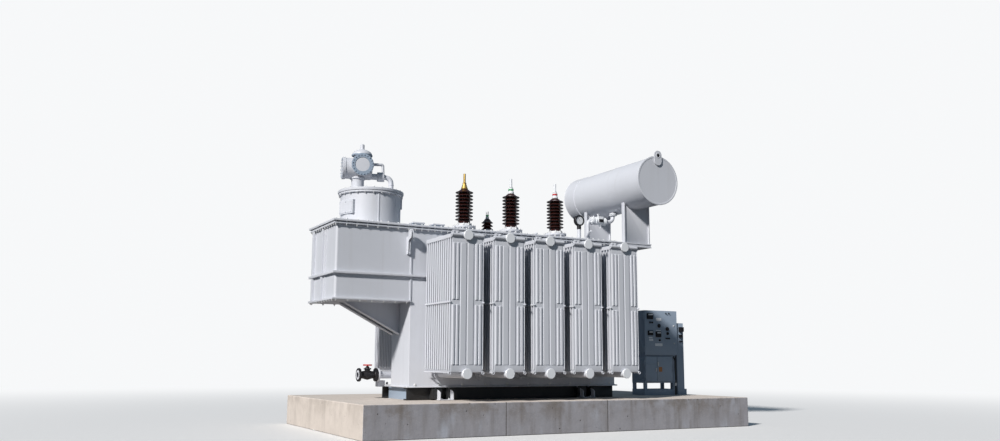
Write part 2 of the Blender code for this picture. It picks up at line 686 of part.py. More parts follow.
def make_bushings():
    for number in range(BUSHING_COUNT):
        x = TANK_X + BUSHING_MIDDLE + (number - (BUSHING_COUNT - 1) / 2) * BUSHING_PITCH
        z = COVER_TOP + SEAT_GAP
        height = BUSHING_TURRET_HEIGHT + BUSHING_FLANGE_THICKNESS
        profile = [(0, height), (BUSHING_FLANGE_RADIUS, height),
                   (BUSHING_FLANGE_RADIUS, BUSHING_TURRET_HEIGHT),
                   (BUSHING_TURRET_RADIUS, BUSHING_TURRET_HEIGHT), (BUSHING_TURRET_RADIUS, 0), (0, 0)]
        turned(f"bushing_turret_{number + 1}", profile, (x, MIDDLE_Y, z), "paint", "Z", 24)
        shed_top = BUSHING_NECK_HEIGHT + SHED_COUNT * SHED_PITCH
        cap_top = shed_top + BUSHING_CAP_HEIGHT
        stud_top = cap_top + BUSHING_STUD_HEIGHT
        profile = [(0, stud_top), (BUSHING_STUD_RADIUS, stud_top), (BUSHING_STUD_RADIUS, cap_top),
                   (BUSHING_CAP_RADIUS, cap_top), (BUSHING_CAP_RADIUS, shed_top + SHED_LIP)]
        profile += shed_profile(SHED_COUNT, SHED_PITCH, SHED_RADIUS, SHED_CORE_RADIUS, shed_top)
        profile += [(BUSHING_NECK_RADIUS, BUSHING_NECK_HEIGHT - SHED_LIP), (BUSHING_NECK_RADIUS, 0), (0, 0)]
        place = (x, MIDDLE_Y, z + height + SEAT_GAP)
        turned(f"hv_bushing_{number + 1}", profile, place, "porcelain", "Z", BUSHING_SIDES)


def make_neutral_bushing():
    base = NEUTRAL_BASE_HEIGHT
    shed_top = base + NEUTRAL_SHED_COUNT * NEUTRAL_SHED_PITCH
    stud_top = shed_top + NEUTRAL_STUD_HEIGHT
    profile = [(0, stud_top), (NEUTRAL_STUD_RADIUS, stud_top), (NEUTRAL_STUD_RADIUS, shed_top + SHED_LIP)]
    profile += shed_profile(NEUTRAL_SHED_COUNT, NEUTRAL_SHED_PITCH, NEUTRAL_SHED_RADIUS,
                            NEUTRAL_CORE_RADIUS, shed_top)
    profile += [(NEUTRAL_BASE_RADIUS, base - SHED_LIP), (NEUTRAL_BASE_RADIUS, 0), (0, 0)]
    place = (TANK_X + NEUTRAL_ALONG, MIDDLE_Y + NEUTRAL_BEHIND, COVER_TOP + SEAT_GAP)
    turned("neutral_bushing", profile, place, "porcelain", "Z", BUSHING_SIDES)


def make_hatches():
    for number in range(2):
        x = TANK_X + HATCH_FIRST + number * HATCH_PITCH
        y = TANK_Y + HATCH_FROM_FRONT
        low = (x - HATCH_WIDTH / 2, y - HATCH_DEPTH / 2, COVER_TOP + SEAT_GAP)
        high = (x + HATCH_WIDTH / 2, y + HATCH_DEPTH / 2, COVER_TOP + HATCH_HEIGHT)
        box(f"hatch_cover_{number + 1}", low, high, "paint")


# Conservator

CONSERVATOR_X = TANK_RIGHT + CONSERVATOR_ALONG
CONSERVATOR_Z = COVER_TOP + CONSERVATOR_OVER_COVER


def make_conservator():
    half = CONSERVATOR_LENGTH / 2
    bm = bmesh.new()
    bmesh.ops.create_cone(bm, cap_ends=False, segments=ROUND_SIDES, radius1=CONSERVATOR_RADIUS,
                          radius2=CONSERVATOR_RADIUS, depth=CONSERVATOR_LENGTH)
    bmesh.ops.rotate(bm, cent=(0, 0, 0), matrix=Matrix.Rotation(math.radians(90), 3, "X"), verts=bm.verts)
    mesh = bpy.data.meshes.new("conservator_shell")
    bm.to_mesh(mesh)
    bm.free()
    shell = part("conservator_shell", mesh, "paint", (CONSERVATOR_X, MIDDLE_Y, CONSERVATOR_Z))
    wall = shell.modifiers.new("wall", "SOLIDIFY")
    wall.thickness = CONSERVATOR_WALL
    wall.offset = -1.0

    end_radius = CONSERVATOR_RADIUS + CONSERVATOR_END_RIM
    front_y = MIDDLE_Y - half - SEAT_GAP
    rear_y = MIDDLE_Y + half + SEAT_GAP
    front = disc("conservator_end_front", end_radius, CONSERVATOR_END_THICKNESS,
                 (CONSERVATOR_X, front_y, CONSERVATOR_Z), "paint", "-Y")
    disc("conservator_end_rear", end_radius, CONSERVATOR_END_THICKNESS,
         (CONSERVATOR_X, rear_y, CONSERVATOR_Z), "paint", "Y")
    lug_top = CONSERVATOR_Z + CONSERVATOR_RADIUS + LUG_RISE
    outline = []
    for step in range(9):
        angle = math.pi * step / 8
        outline.append((CONSERVATOR_X + LUG_WIDTH / 2 * math.cos(angle),
                        lug_top - LUG_WIDTH / 2 + LUG_WIDTH / 2 * math.sin(angle)))
    for side in (-1, 1):
        outline.append((CONSERVATOR_X + side * LUG_WIDTH / 2, lug_top - LUG_HEIGHT))
    lug_back = front_y - CONSERVATOR_END_THICKNESS + SEAT_GAP
    lug = plate("conservator_lug", outline, LUG_THICKNESS, None, "XZ", lug_back - LUG_THICKNESS)
    hole = disc("conservator_lug_hole", LUG_HOLE_RADIUS, LUG_THICKNESS * 3,
                (CONSERVATOR_X, lug_back + LUG_THICKNESS, lug_top - LUG_WIDTH / 2), None, "-Y", 12)
    unite(front, lug)
    cut(front, hole)


def make_platform():
    x0 = TANK_RIGHT + COVER_OVERHANG + SEAT_GAP
    x1 = TANK_RIGHT + PLATFORM_LENGTH
    y1 = TANK_REAR + PLATFORM_REAR
    top = COVER_TOP
    under = top - PLATFORM_THICKNESS
    deck = box("conservator_platform", (x0, TANK_Y, under), (x1, y1, top), "paint")
    ribs = []
    wall = TANK_RIGHT + SEAT_GAP
    under_cover = COVER_Z - SEAT_GAP
    foot = under - PLATFORM_BRACKET_HEIGHT
    root = under + SEAT_GAP
    for number, y in enumerate((TANK_Y + SADDLE_FRONT, TANK_REAR - SADDLE_FRONT)):
        outline = [(wall, under_cover), (wall, foot), (wall + RIM_OVERHANG, foot),
                   (wall + PLATFORM_BRACKET_LENGTH, root), (x0, root), (x0, under_cover)]
        ribs.append(plate(f"platform_bracket_{number}", outline, PLATFORM_BRACKET_THICKNESS, None, "XZ",
                          y - PLATFORM_BRACKET_THICKNESS / 2))
    unite(deck, *ribs)
    for number, y in enumerate((TANK_Y + SADDLE_FRONT, TANK_Y + SADDLE_FRONT + SADDLE_SPACING)):
        make_saddle(("conservator_saddle_front", "conservator_saddle_rear")[number], y, top)


def make_saddle(name, y, deck_top):
    x0 = CONSERVATOR_X - SADDLE_WIDTH / 2
    x1 = CONSERVATOR_X + SADDLE_WIDTH / 2
    z0 = deck_top + SEAT_GAP
    z1 = CONSERVATOR_Z - CONSERVATOR_RADIUS + SADDLE_WRAP
    web = box(name, (x0, y - SADDLE_THICKNESS / 2, z0), (x1, y + SADDLE_THICKNESS / 2, z1), "paint")
    flanges = []
    for number, x in enumerate((x0, x1 - SADDLE_THICKNESS)):
        low = (x, y - SADDLE_FLANGE_WIDTH / 2, z0)
        high = (x + SADDLE_THICKNESS, y + SADDLE_FLANGE_WIDTH / 2, z1)
        flanges.append(box(f"{name}_flange_{number}", low, high))
    cradle = disc(f"{name}_cradle", CONSERVATOR_RADIUS + SEAT_GAP, SADDLE_FLANGE_WIDTH * 2,
                  (CONSERVATOR_X, y + SADDLE_FLANGE_WIDTH, CONSERVATOR_Z), None, "-Y")
    unite(web, *flanges)
    cut(web, cradle)


# Gauge and gas relay

def make_gauge():
    x = TANK_RIGHT - GAUGE_FROM_END
    y = TANK_Y + GAUGE_FROM_FRONT
    z = COVER_TOP + GAUGE_OVER_COVER
    dial = disc("dial_gauge", GAUGE_RADIUS, GAUGE_DEPTH, (x, y + GAUGE_DEPTH / 2, z), "iron", "-Y", 24)
    stalk = disc("dial_stalk", GAUGE_STALK_RADIUS, GAUGE_OVER_COVER - GAUGE_RADIUS / 2,
                 (x, y, COVER_TOP + SEAT_GAP), None, "Z", 12)
    unite(dial, stalk)


def make_relay():
    """The pipe from the cover through the gas relay up to the conservator."""
    y = TANK_Y + RELAY_FROM_FRONT
    x = TANK_RIGHT + RELAY_BEYOND_END
    z = COVER_TOP + RELAY_OVER_COVER
    end_x = CONSERVATOR_X - RELAY_PIPE_SIDE
    inner_side = RELAY_PIPE_SIDE - RELAY_PIPE_RADIUS
    shell_depth = math.sqrt(CONSERVATOR_RADIUS ** 2 - inner_side ** 2)
    foot = Vector((x - RELAY_LENGTH, y, COVER_TOP + SEAT_GAP))
    low_corner = Vector((x - RELAY_LENGTH, y, z))
    top = Vector((end_x, y, CONSERVATOR_Z - shell_depth - SEAT_GAP))
    high_corner = Vector((end_x, y, z))
    radius = RELAY_PIPE_RADIUS * 2.5
    route = [foot] + bend(foot, low_corner, high_corner, radius)
    route += bend(low_corner, high_corner, top, radius) + [top]
    pipe = tube("relay_pipe", route, RELAY_PIPE_RADIUS, "paint")
    body = disc("gas_relay", RELAY_RADIUS, RELAY_LENGTH, (x, y, z), None, "X", 12)
    unite(pipe, body)


# Drain valve

def make_valve():
    y = TANK_REAR - VALVE_FROM_REAR
    z = TANK_Z + VALVE_OVER_BASE
    share = (VALVE_FROM_REAR + VALVE_PIPE_RADIUS) / TANK_CHAMFER_DEPTH
    wall_x = TANK_X + TANK_CHAMFER_LENGTH * (1 - share)
    pipe_end = TANK_X - VALVE_PIPE_END
    pipe_length = wall_x - pipe_end
    profile = [(0, pipe_length), (VALVE_FLANGE_RADIUS, pipe_length),
               (VALVE_FLANGE_RADIUS, pipe_length - VALVE_FLANGE_THICKNESS),
               (VALVE_PIPE_RADIUS, pipe_length - VALVE_FLANGE_THICKNESS), (VALVE_PIPE_RADIUS, 0), (0, 0)]
    turned("drain_pipe", profile, (wall_x, y, z), "paint", "-X", 16)
    length = VALVE_BODY_LENGTH
    flange = VALVE_FLANGE_THICKNESS
    profile = [(0, length), (VALVE_FLANGE_RADIUS, length), (VALVE_FLANGE_RADIUS, length - flange),
               (VALVE_WAIST_RADIUS, length - flange), (VALVE_BODY_RADIUS, length / 2),
               (VALVE_WAIST_RADIUS, flange), (VALVE_FLANGE_RADIUS, flange), (VALVE_FLANGE_RADIUS, 0), (0, 0)]
    body = turned("drain_valve", profile, (pipe_end - SEAT_GAP, y, z), "iron", "-X", 16)
    stem_x = pipe_end - SEAT_GAP - length / 2
    bonnet = disc("valve_bonnet", VALVE_BONNET_RADIUS, VALVE_BONNET_HEIGHT, (stem_x, y, z), None, "Z", 12)
    unite(body, bonnet)
    make_handwheel(stem_x, y, z + VALVE_BONNET_HEIGHT + SEAT_GAP)


def make_handwheel(x, y, z):
    """The wheel on its stem, with its origin on the stem's axis."""
    hub_height = HANDWHEEL_RIM * 2 + HANDWHEEL_CLEARANCE
    hub = disc("valve_handwheel", HANDWHEEL_HUB_RADIUS, hub_height, (x, y, z), "red", "Z", 12)
    level = HANDWHEEL_CLEARANCE + HANDWHEEL_RIM
    rim_profile = []
    for step in range(7):
        angle = math.radians(90 - step * 60)
        rim_profile.append((HANDWHEEL_RADIUS - HANDWHEEL_RIM + HANDWHEEL_RIM * math.cos(angle),
                            level + HANDWHEEL_RIM * math.sin(angle)))
    rim = turned("handwheel_rim", rim_profile, (x, y, z), None, "Z", 20)
    spokes = []
    for number in range(2):
        long, short = HANDWHEEL_RADIUS - HANDWHEEL_RIM, SPOKE_HALF_WIDTH
        reach = (long, short) if number == 0 else (short, long)
        low = (x - reach[0], y - reach[1], z + level - HANDWHEEL_RIM / 2)
        high = (x + reach[0], y + reach[1], z + level + HANDWHEEL_RIM / 2)
        spokes.append(box(f"handwheel_spoke_{number}", low, high))
    unite(hub, *spokes, rim)


# Control cabinets

CABINET_X = TANK_RIGHT + CABINET_ALONG
CABINET_Y = TANK_Y + CABINET_FROM_FRONT


def open_cabinet(name, low, high, sides):
    """A cabinet open at the front, with the fixed half of each hinge on the given sides."""
    body = box(name, low, high, "cabinet")
    wall = CABINET_WALL
    inside = box(f"{name}_inside", (low[0] + wall, low[1] - wall, low[2] + wall),
                 (high[0] - wall, high[1] - wall, high[2] - wall))
    cut(body, inside)
    leaves = []
    for side in sides:
        edge = low[0] if side < 0 else high[0]
        pin_x = edge + side * HINGE_OFFSET
        pin_y = low[1] - DOOR_CLEARANCE - DOOR_THICKNESS / 2
        for z in hinge_levels(low[2], high[2]):
            place = (pin_x, pin_y, z)
            leaves.append(disc("fixed_knuckle", HINGE_RADIUS, HINGE_KNUCKLE, place, None, "Z", 10))
            clear = edge + side * HINGE_ARM_CLEARANCE
            outer = pin_x + side * HINGE_RADIUS / 2
            ends = sorted((clear, outer))
            bottom = z + HINGE_ARM_INSET
            top = z + HINGE_KNUCKLE - HINGE_ARM_INSET
            leaves.append(box("fixed_arm", (ends[0], pin_y, bottom), (ends[1], low[1] + HINGE_LEAF, top)))
            ends = sorted((edge - side * CABINET_WALL / 3, outer - side * HINGE_RADIUS / 4))
            leaves.append(box("fixed_leaf", (ends[0], low[1] + HINGE_LEAF / 3, bottom + HINGE_ARM_INSET),
                              (ends[1], low[1] + HINGE_LEAF - HINGE_ARM_CLEARANCE, top - HINGE_ARM_INSET)))
    unite(body, *leaves)


def hinge_levels(bottom, top):
    """The undersides of the fixed knuckles; the door's knuckles stand on them."""
    return bottom + HINGE_MARGIN, top - HINGE_MARGIN - 2 * HINGE_KNUCKLE


def door(name, low, high, side):
    """A door panel whose origin is on its hinge line; side is -1 for a hinge at its left."""
    edge = low[0] if side < 0 else high[0]
    pin = Vector((edge + side * HINGE_OFFSET, (low[1] + high[1]) / 2, 0))
    panel = part(name, box_mesh(name, Vector(low) - pin, Vector(high) - pin), "cabinet", pin)
    knuckles = []
    for z in hinge_levels(low[2], high[2]):
        start = z + HINGE_KNUCKLE + SEAT_GAP
        place = (pin.x, pin.y, start)
        knuckles.append(disc("door_knuckle", HINGE_RADIUS, HINGE_KNUCKLE, place, None, "Z", 10))
        ends = sorted((pin.x, edge - side * HINGE_RADIUS))
        half = HINGE_RADIUS / 2
        knuckles.append(box("door_leaf", (ends[0], pin.y - half, start + HINGE_ARM_INSET),
                            (ends[1], pin.y + half, start + HINGE_KNUCKLE - HINGE_ARM_INSET)))
    unite(panel, *knuckles)


def make_cabinets():
    floor = PLINTH_HEIGHT
    x0, x1 = CABINET_X, CABINET_X + CABINET_WIDTH
    front = CABINET_Y + DOOR_THICKNESS + DOOR_CLEARANCE
    back = front + CABINET_DEPTH
    door_back = CABINET_Y + DOOR_THICKNESS
    z0 = floor + CABINET_UNDERSIDE
    z1 = z0 + CABINET_HEIGHT
    open_cabinet("control_cabinet", (x0, front, z0), (x1, back, z1), (-1,))
    door("control_cabinet_door", (x0, CABINET_Y, z0), (x1, door_back, z1), -1)
    lx1 = x0 + LOWER_CABINET_WIDTH
    lz0 = floor + LOWER_CABINET_UNDERSIDE
    lz1 = lz0 + LOWER_CABINET_HEIGHT
    open_cabinet("lower_cabinet", (x0, front, lz0), (lx1, back, lz1), (-1, 1))
    middle = x0 + LOWER_CABINET_WIDTH * LOWER_DOOR_SHARE
    gap = DOOR_CLEARANCE / 2
    door("lower_door_left", (x0, CABINET_Y, lz0), (middle - gap, door_back, lz1), -1)
    door("lower_door_right", (middle + gap, CABINET_Y, lz0), (lx1, door_back, lz1), 1)

    post_x = lx1 + HINGE_OFFSET + 2 * HINGE_RADIUS
    post_end = post_x + STAND_LEG
    shelf_low = (x0, front, lz1 + SEAT_GAP)
    shelf_high = (post_end + STAND_INSET, back, z0 - SEAT_GAP)
    shelf = box("cabinet_stand", shelf_low, shelf_high, "cabinet")
    foot = floor + SEAT_GAP
    shelf_top = lz0 - SEAT_GAP
    shelf_under = shelf_top - STAND_SHELF_THICKNESS
    low_shelf = box("stand_shelf", (x0, front, shelf_under), (post_end + STAND_INSET, back, shelf_top))
    base = box("stand_base", (x0, front, foot), (post_end + STAND_INSET, back, foot + STAND_BASE_HEIGHT))
    posts = []
    for y in (front + STAND_INSET, back - STAND_INSET - STAND_LEG):
        near = y + STAND_LEG
        posts.append(box("stand_post", (post_x, y, foot), (post_end, near, lz1 + STAND_INSET)))
        leg_x = x0 + STAND_INSET
        posts.append(box("stand_leg", (leg_x, y, foot), (leg_x + STAND_LEG, near, shelf_under + STAND_INSET)))
    unite(shelf, *posts, low_shelf, base)

    cx0 = x1 + COLUMN_GAP
    column_high = (cx0 + COLUMN_WIDTH, front + COLUMN_DEPTH, floor + COLUMN_HEIGHT)
    column = box("cable_column", (cx0, front, foot), column_high, "cabinet")
    base = box("column_base", (cx0 - COLUMN_GAP / 2, front - COLUMN_GAP, foot),
               (cx0 + COLUMN_WIDTH + COLUMN_WIDTH / 4, front + COLUMN_DEPTH, foot + COLUMN_BASE_HEIGHT))
    unite(column, base)

    px = post_end + CONDUIT_RADIUS + CONDUIT_CLEARANCE
    py = front + CONDUIT_RADIUS * 2
    route = [Vector((px, py, foot)), Vector((px, py, z0 - SEAT_GAP))]
    tube("cable_conduit", route, CONDUIT_RADIUS, "rubber")


def main():
    make_plinth()
    make_skid("skid_front", TANK_Y, -1)
    make_skid("skid_rear", TANK_REAR, 1)
    make_cross_beams()
    make_tank()
    make_side_box()
    make_radiators()
    make_head(make_turret())
    make_bushings()
    make_neutral_bushing()
    make_hatches()
    make_conservator()
    make_platform()
    make_gauge()
    make_relay()
    make_valve()
    make_cabinets()


main()
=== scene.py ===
"""Looks of an oil-filled power transformer, laid out as an add-on.

Each operator dresses one group of the transformer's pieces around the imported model, and one sets
the stage. The long side runs along X, the radiators in view face -Y.
"""
import math

import bmesh
import bpy
from bpy.props import FloatProperty, FloatVectorProperty, IntProperty, PointerProperty
from mathutils import Matrix, Vector


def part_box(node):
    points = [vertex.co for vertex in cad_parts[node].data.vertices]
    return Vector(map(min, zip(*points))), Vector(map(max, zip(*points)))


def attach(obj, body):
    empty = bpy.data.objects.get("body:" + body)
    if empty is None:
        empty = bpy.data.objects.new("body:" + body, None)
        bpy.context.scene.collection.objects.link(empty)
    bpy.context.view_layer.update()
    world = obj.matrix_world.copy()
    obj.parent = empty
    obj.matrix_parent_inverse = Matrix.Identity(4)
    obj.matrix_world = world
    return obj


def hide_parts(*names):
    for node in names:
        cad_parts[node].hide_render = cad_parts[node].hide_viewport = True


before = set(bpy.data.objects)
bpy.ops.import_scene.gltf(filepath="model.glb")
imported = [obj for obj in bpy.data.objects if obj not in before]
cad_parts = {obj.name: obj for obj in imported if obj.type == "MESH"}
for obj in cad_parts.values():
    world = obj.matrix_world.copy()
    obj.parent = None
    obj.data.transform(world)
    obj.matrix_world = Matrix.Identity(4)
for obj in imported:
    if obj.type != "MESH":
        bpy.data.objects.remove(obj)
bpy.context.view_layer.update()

bl_info = {
    "name": "Power transformer dressing",
    "version": (1, 0, 0),
    "blender": (4, 5, 0),
    "location": "3D View > Sidebar > Transformer",
    "description": "Builds the looks of an oil-filled power transformer around its packed model",
    "category": "Object",
}

BODY = "transformer"

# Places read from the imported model

TANK_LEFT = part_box("tank_upper")[0].x
TANK_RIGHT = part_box("tank_upper")[1].x
TANK_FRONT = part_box("side_box_lower")[0].y
TANK_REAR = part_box("side_box_lower")[1].y
MIDDLE_Y = (TANK_FRONT + TANK_REAR) / 2
BOX_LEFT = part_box("side_box_lower")[0].x
TANK_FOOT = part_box("tank_lower")[0].z
RIM_FOOT, RIM_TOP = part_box("tank_rim")[0].z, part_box("tank_rim")[1].z
COVER_LOW, COVER_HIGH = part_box("tank_cover")
PLINTH_LOW, PLINTH_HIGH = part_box("concrete_plinth")
PLINTH_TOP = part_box("skid_front")[0].z

# Where the plinth's casting joints cross its front

PLINTH_JOINTS = (-1.10, 0.61)


def facing(direction):
    """The turn that sends +Z to a direction."""
    return Vector((0, 0, 1)).rotation_difference(Vector(direction)).to_matrix().to_4x4()


def at(place, direction=(0, 0, 1)):
    """A place, with +Z sent to a direction."""
    return Matrix.Translation(place) @ facing(direction)


def middle_of(node):
    """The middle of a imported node's box."""
    low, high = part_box(node)
    return (low + high) / 2


def foot_of(node):
    """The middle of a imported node's foot."""
    middle = middle_of(node)
    return Vector((middle.x, middle.y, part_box(node)[0].z))


def steps_between(start, end, pitch):
    """Evenly spaced values from start to end, about a pitch apart."""
    count = max(1, round(abs(end - start) / pitch))
    return [start + (end - start) * number / count for number in range(count + 1)]


# Shapes: each is a mesh that pieces take in as often as they need

def shape_from(bm):
    mesh = bpy.data.meshes.new("shape")
    bm.to_mesh(mesh)
    bm.free()
    return mesh


def round_shape(profile, steps=64):
    """A turned shape; its profile of (radius, height) runs along its outside."""
    bm = bmesh.new()
    verts = [bm.verts.new((radius, 0, height)) for radius, height in profile]
    edges = [bm.edges.new(pair) for pair in zip(verts, verts[1:])]
    bmesh.ops.spin(bm, geom=verts + edges, cent=(0, 0, 0), axis=(0, 0, 1), angle=math.tau,
                   steps=steps, use_merge=True)
    bmesh.ops.remove_doubles(bm, verts=bm.verts, dist=0.00001)
    bmesh.ops.recalc_face_normals(bm, faces=bm.faces)
    return shape_from(bm)


def block_shape(low, high, edge=0.002, segments=1):
    """A block with rounded edges."""
    low, high = Vector(low), Vector(high)
    bm = bmesh.new()
    bmesh.ops.create_cube(bm, size=1.0)
    bmesh.ops.scale(bm, vec=high - low, verts=bm.verts)
    bmesh.ops.translate(bm, vec=(low + high) / 2, verts=bm.verts)
    bmesh.ops.bevel(bm, geom=bm.edges[:], offset=edge, offset_type="OFFSET", segments=segments,
                    profile=0.5, affect="EDGES", material=-1)
    return shape_from(bm)


# The planes that a flat outline is drawn in

PLANES = {
    "XY": Matrix(),
    "XZ": Matrix(((1, 0, 0, 0), (0, 0, 1, 0), (0, 1, 0, 0), (0, 0, 0, 1))),
    "YZ": Matrix(((0, 0, 1, 0), (1, 0, 0, 0), (0, 1, 0, 0), (0, 0, 0, 1))),
}


def plate_shape(outline, thickness, plane="XY", start=0.0, edge=0.002, segments=1):
    """A flat outline given thickness from start along the axis normal to its plane."""
    bm = bmesh.new()
    face = bm.faces.new([bm.verts.new((u, v, start)) for u, v in outline])
    grown = bmesh.ops.extrude_face_region(bm, geom=[face])["geom"]
    raised = [item for item in grown if isinstance(item, bmesh.types.BMVert)]
    bmesh.ops.translate(bm, vec=(0, 0, thickness), verts=raised)
    bmesh.ops.transform(bm, matrix=PLANES[plane], verts=bm.verts)
    bmesh.ops.recalc_face_normals(bm, faces=bm.faces)
    sharp = [line for line in bm.edges if line.calc_face_angle(0) > math.radians(35)]
    bmesh.ops.bevel(bm, geom=sharp, offset=edge, offset_type="OFFSET", segments=segments,
                    profile=0.5, affect="EDGES", material=-1)
    return shape_from(bm)


def pipe_shape(route, radius, sides=3, closed=False):
    """A round bar along a route of points."""
    curve = bpy.data.curves.new("route", "CURVE")
    curve.dimensions = "3D"
    curve.bevel_depth = radius
    curve.bevel_resolution = sides
    curve.use_fill_caps = True
    spline = curve.splines.new("POLY")
    spline.points.add(len(route) - 1)
    for point, place in zip(spline.points, route):
        point.co = (*place, 1.0)
    spline.use_cyclic_u = closed
    carrier = bpy.data.objects.new("route", curve)
    bpy.context.scene.collection.objects.link(carrier)
    bpy.context.view_layer.update()
    mesh = bpy.data.meshes.new_from_object(carrier.evaluated_get(bpy.context.evaluated_depsgraph_get()))
    bpy.data.objects.remove(carrier)
    bm = bmesh.new()
    bm.from_mesh(mesh)
    bmesh.ops.remove_doubles(bm, verts=bm.verts, dist=0.00001)
    bmesh.ops.recalc_face_normals(bm, faces=bm.faces)
    return shape_from(bm)


def bend(start, corner, end, radius, steps=8):
    """Points of a rounded corner between two straight runs."""
    start, corner, end = Vector(start), Vector(corner), Vector(end)
    first = corner + (start - corner).normalized() * radius
    last = corner + (end - corner).normalized() * radius
    points = []
    for step in range(steps + 1):
        share = step / steps
        points.append(first * (1 - share) ** 2 + corner * 2 * share * (1 - share) + last * share ** 2)
    return points


def circle_points(radius, count, first=0.0):
    for number in range(count):
        angle = first + math.tau * number / count
        yield Vector((radius * math.cos(angle), radius * math.sin(angle), 0))


def add_prism(bm, sides, foot_radius, top_radius, low, deep):
    """A straight or tapered prism that stands at a height on the z axis."""
    verts = bmesh.ops.create_cone(bm, cap_ends=True, segments=sides, radius1=foot_radius,
                                  radius2=top_radius, depth=deep)["verts"]
    bmesh.ops.translate(bm, vec=(0, 0, low + deep / 2), verts=verts)


def bolt_shape(size):
    """A hexagon bolt head with its washer, standing on z = 0; size is half its width."""
    washer, head = size * 0.22, size * 0.85
    bm = bmesh.new()
    add_prism(bm, 10, size * 1.35, size * 1.35, 0, washer)
    add_prism(bm, 6, size, size, washer, head * 0.8)
    add_prism(bm, 6, size, size * 0.82, washer + head * 0.8, head * 0.2)
    return shape_from(bm)


def nut_shape(size, stud=0.6):
    """A nut on its washer, with the end of the stud standing out of it."""
    bm = bmesh.new()
    bm.from_mesh(bolt_shape(size))
    add_prism(bm, 8, size * 0.55, size * 0.5, size * 1.07, size * stud)
    return shape_from(bm)


class Piece:
    """A piece in the making: shapes are taken in at their places, and done() makes its object."""

    def __init__(self, name):
        self.name = name
        self.bm = bmesh.new()

    def add(self, shape, matrix=Matrix(), finish=0):
        copy = shape.copy()
        copy.transform(matrix)
        copy.polygons.foreach_set("material_index", [finish] * len(copy.polygons))
        self.bm.from_mesh(copy)
        bpy.data.meshes.remove(copy)
        return self

    def block(self, low, high, edge=0.002, segments=1, finish=0):
        return self.add(block_shape(low, high, edge, segments), finish=finish)

    def round(self, profile, place, direction=(0, 0, 1), steps=64, finish=0):
        return self.add(round_shape(profile, steps), at(place, direction), finish)

    def ring_of(self, shape, count, radius, place, direction=(0, 0, 1), first=0.0, finish=0):
        """Copies of a shape around a circle, all facing one way."""
        for point in circle_points(radius, count, first):
            self.add(shape, at(place, direction) @ Matrix.Translation(point), finish)
        return self

    def done(self, materials, slot="grey_paint", body=BODY, replaced=()):
        return finish_object(self.name, shape_from(self.bm), materials, body, replaced)


def finish_object(name, mesh, materials, body, replaced=()):
    """A finished object: smooth over shallow edges, with its finish, riding on its body."""
    mesh.name = name
    obj = bpy.data.objects.new(name, mesh)
    bpy.context.scene.collection.objects.link(obj)
    mesh.shade_smooth()
    mesh.set_sharp_from_angle(angle=math.radians(35))
    for material in materials if isinstance(materials, (list, tuple)) else [materials]:
        mesh.materials.append(material)
    flats = obj.modifiers.new("flat faces stay flat", "WEIGHTED_NORMAL")
    flats.keep_sharp = True
    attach(obj, body)
    if replaced:
        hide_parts(*replaced)
    return obj


def rounded_copy(node, material, width, segments=3, body=BODY):
    """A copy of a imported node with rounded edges, which stands for it."""
    bm = bmesh.new()
    bm.from_mesh(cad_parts[node].data)
    bmesh.ops.remove_doubles(bm, verts=bm.verts, dist=0.00005)
    bmesh.ops.dissolve_limit(bm, angle_limit=math.radians(1), verts=bm.verts, edges=bm.edges)
    mesh = shape_from(bm)
    mesh.name = node + "_dressed"
    obj = bpy.data.objects.new(mesh.name, mesh)
    bpy.context.scene.collection.objects.link(obj)
    mesh.shade_smooth()
    mesh.materials.clear()
    mesh.materials.append(material)
    rounding = obj.modifiers.new("rounded edges", "BEVEL")
    rounding.width = width
    rounding.segments = segments
    rounding.limit_method = "ANGLE"
    rounding.angle_limit = math.radians(30)
    rounding.harden_normals = True
    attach(obj, body)
    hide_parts(node)
    return obj


# Finishes: shader maths written as expressions

class Field:
    """A number in a material, which Python's operators extend with Math nodes."""

    def __init__(self, finish, socket):
        self.finish = finish
        self.socket = socket

    def maths(self, operation, first, second=0.0):
        return self.finish.node("ShaderNodeMath", {"operation": operation}, {0: first, 1: second})

    def __add__(self, other):
        return self.maths("ADD", self, other)

    __radd__ = __add__

    def __mul__(self, other):
        return self.maths("MULTIPLY", self, other)

    __rmul__ = __mul__

    def __sub__(self, other):
        return self.maths("SUBTRACT", self, other)

    def __rsub__(self, other):
        return self.maths("SUBTRACT", other, self)

    def above(self, low, high):
        """0 below low, 1 above high, and smooth between."""
        inputs = {"Value": self, "From Min": low, "From Max": high}
        return self.finish.node("ShaderNodeMapRange", {"interpolation_type": "SMOOTHSTEP"}, inputs)

    def below(self, low, high):
        return 1 - self.above(low, high)


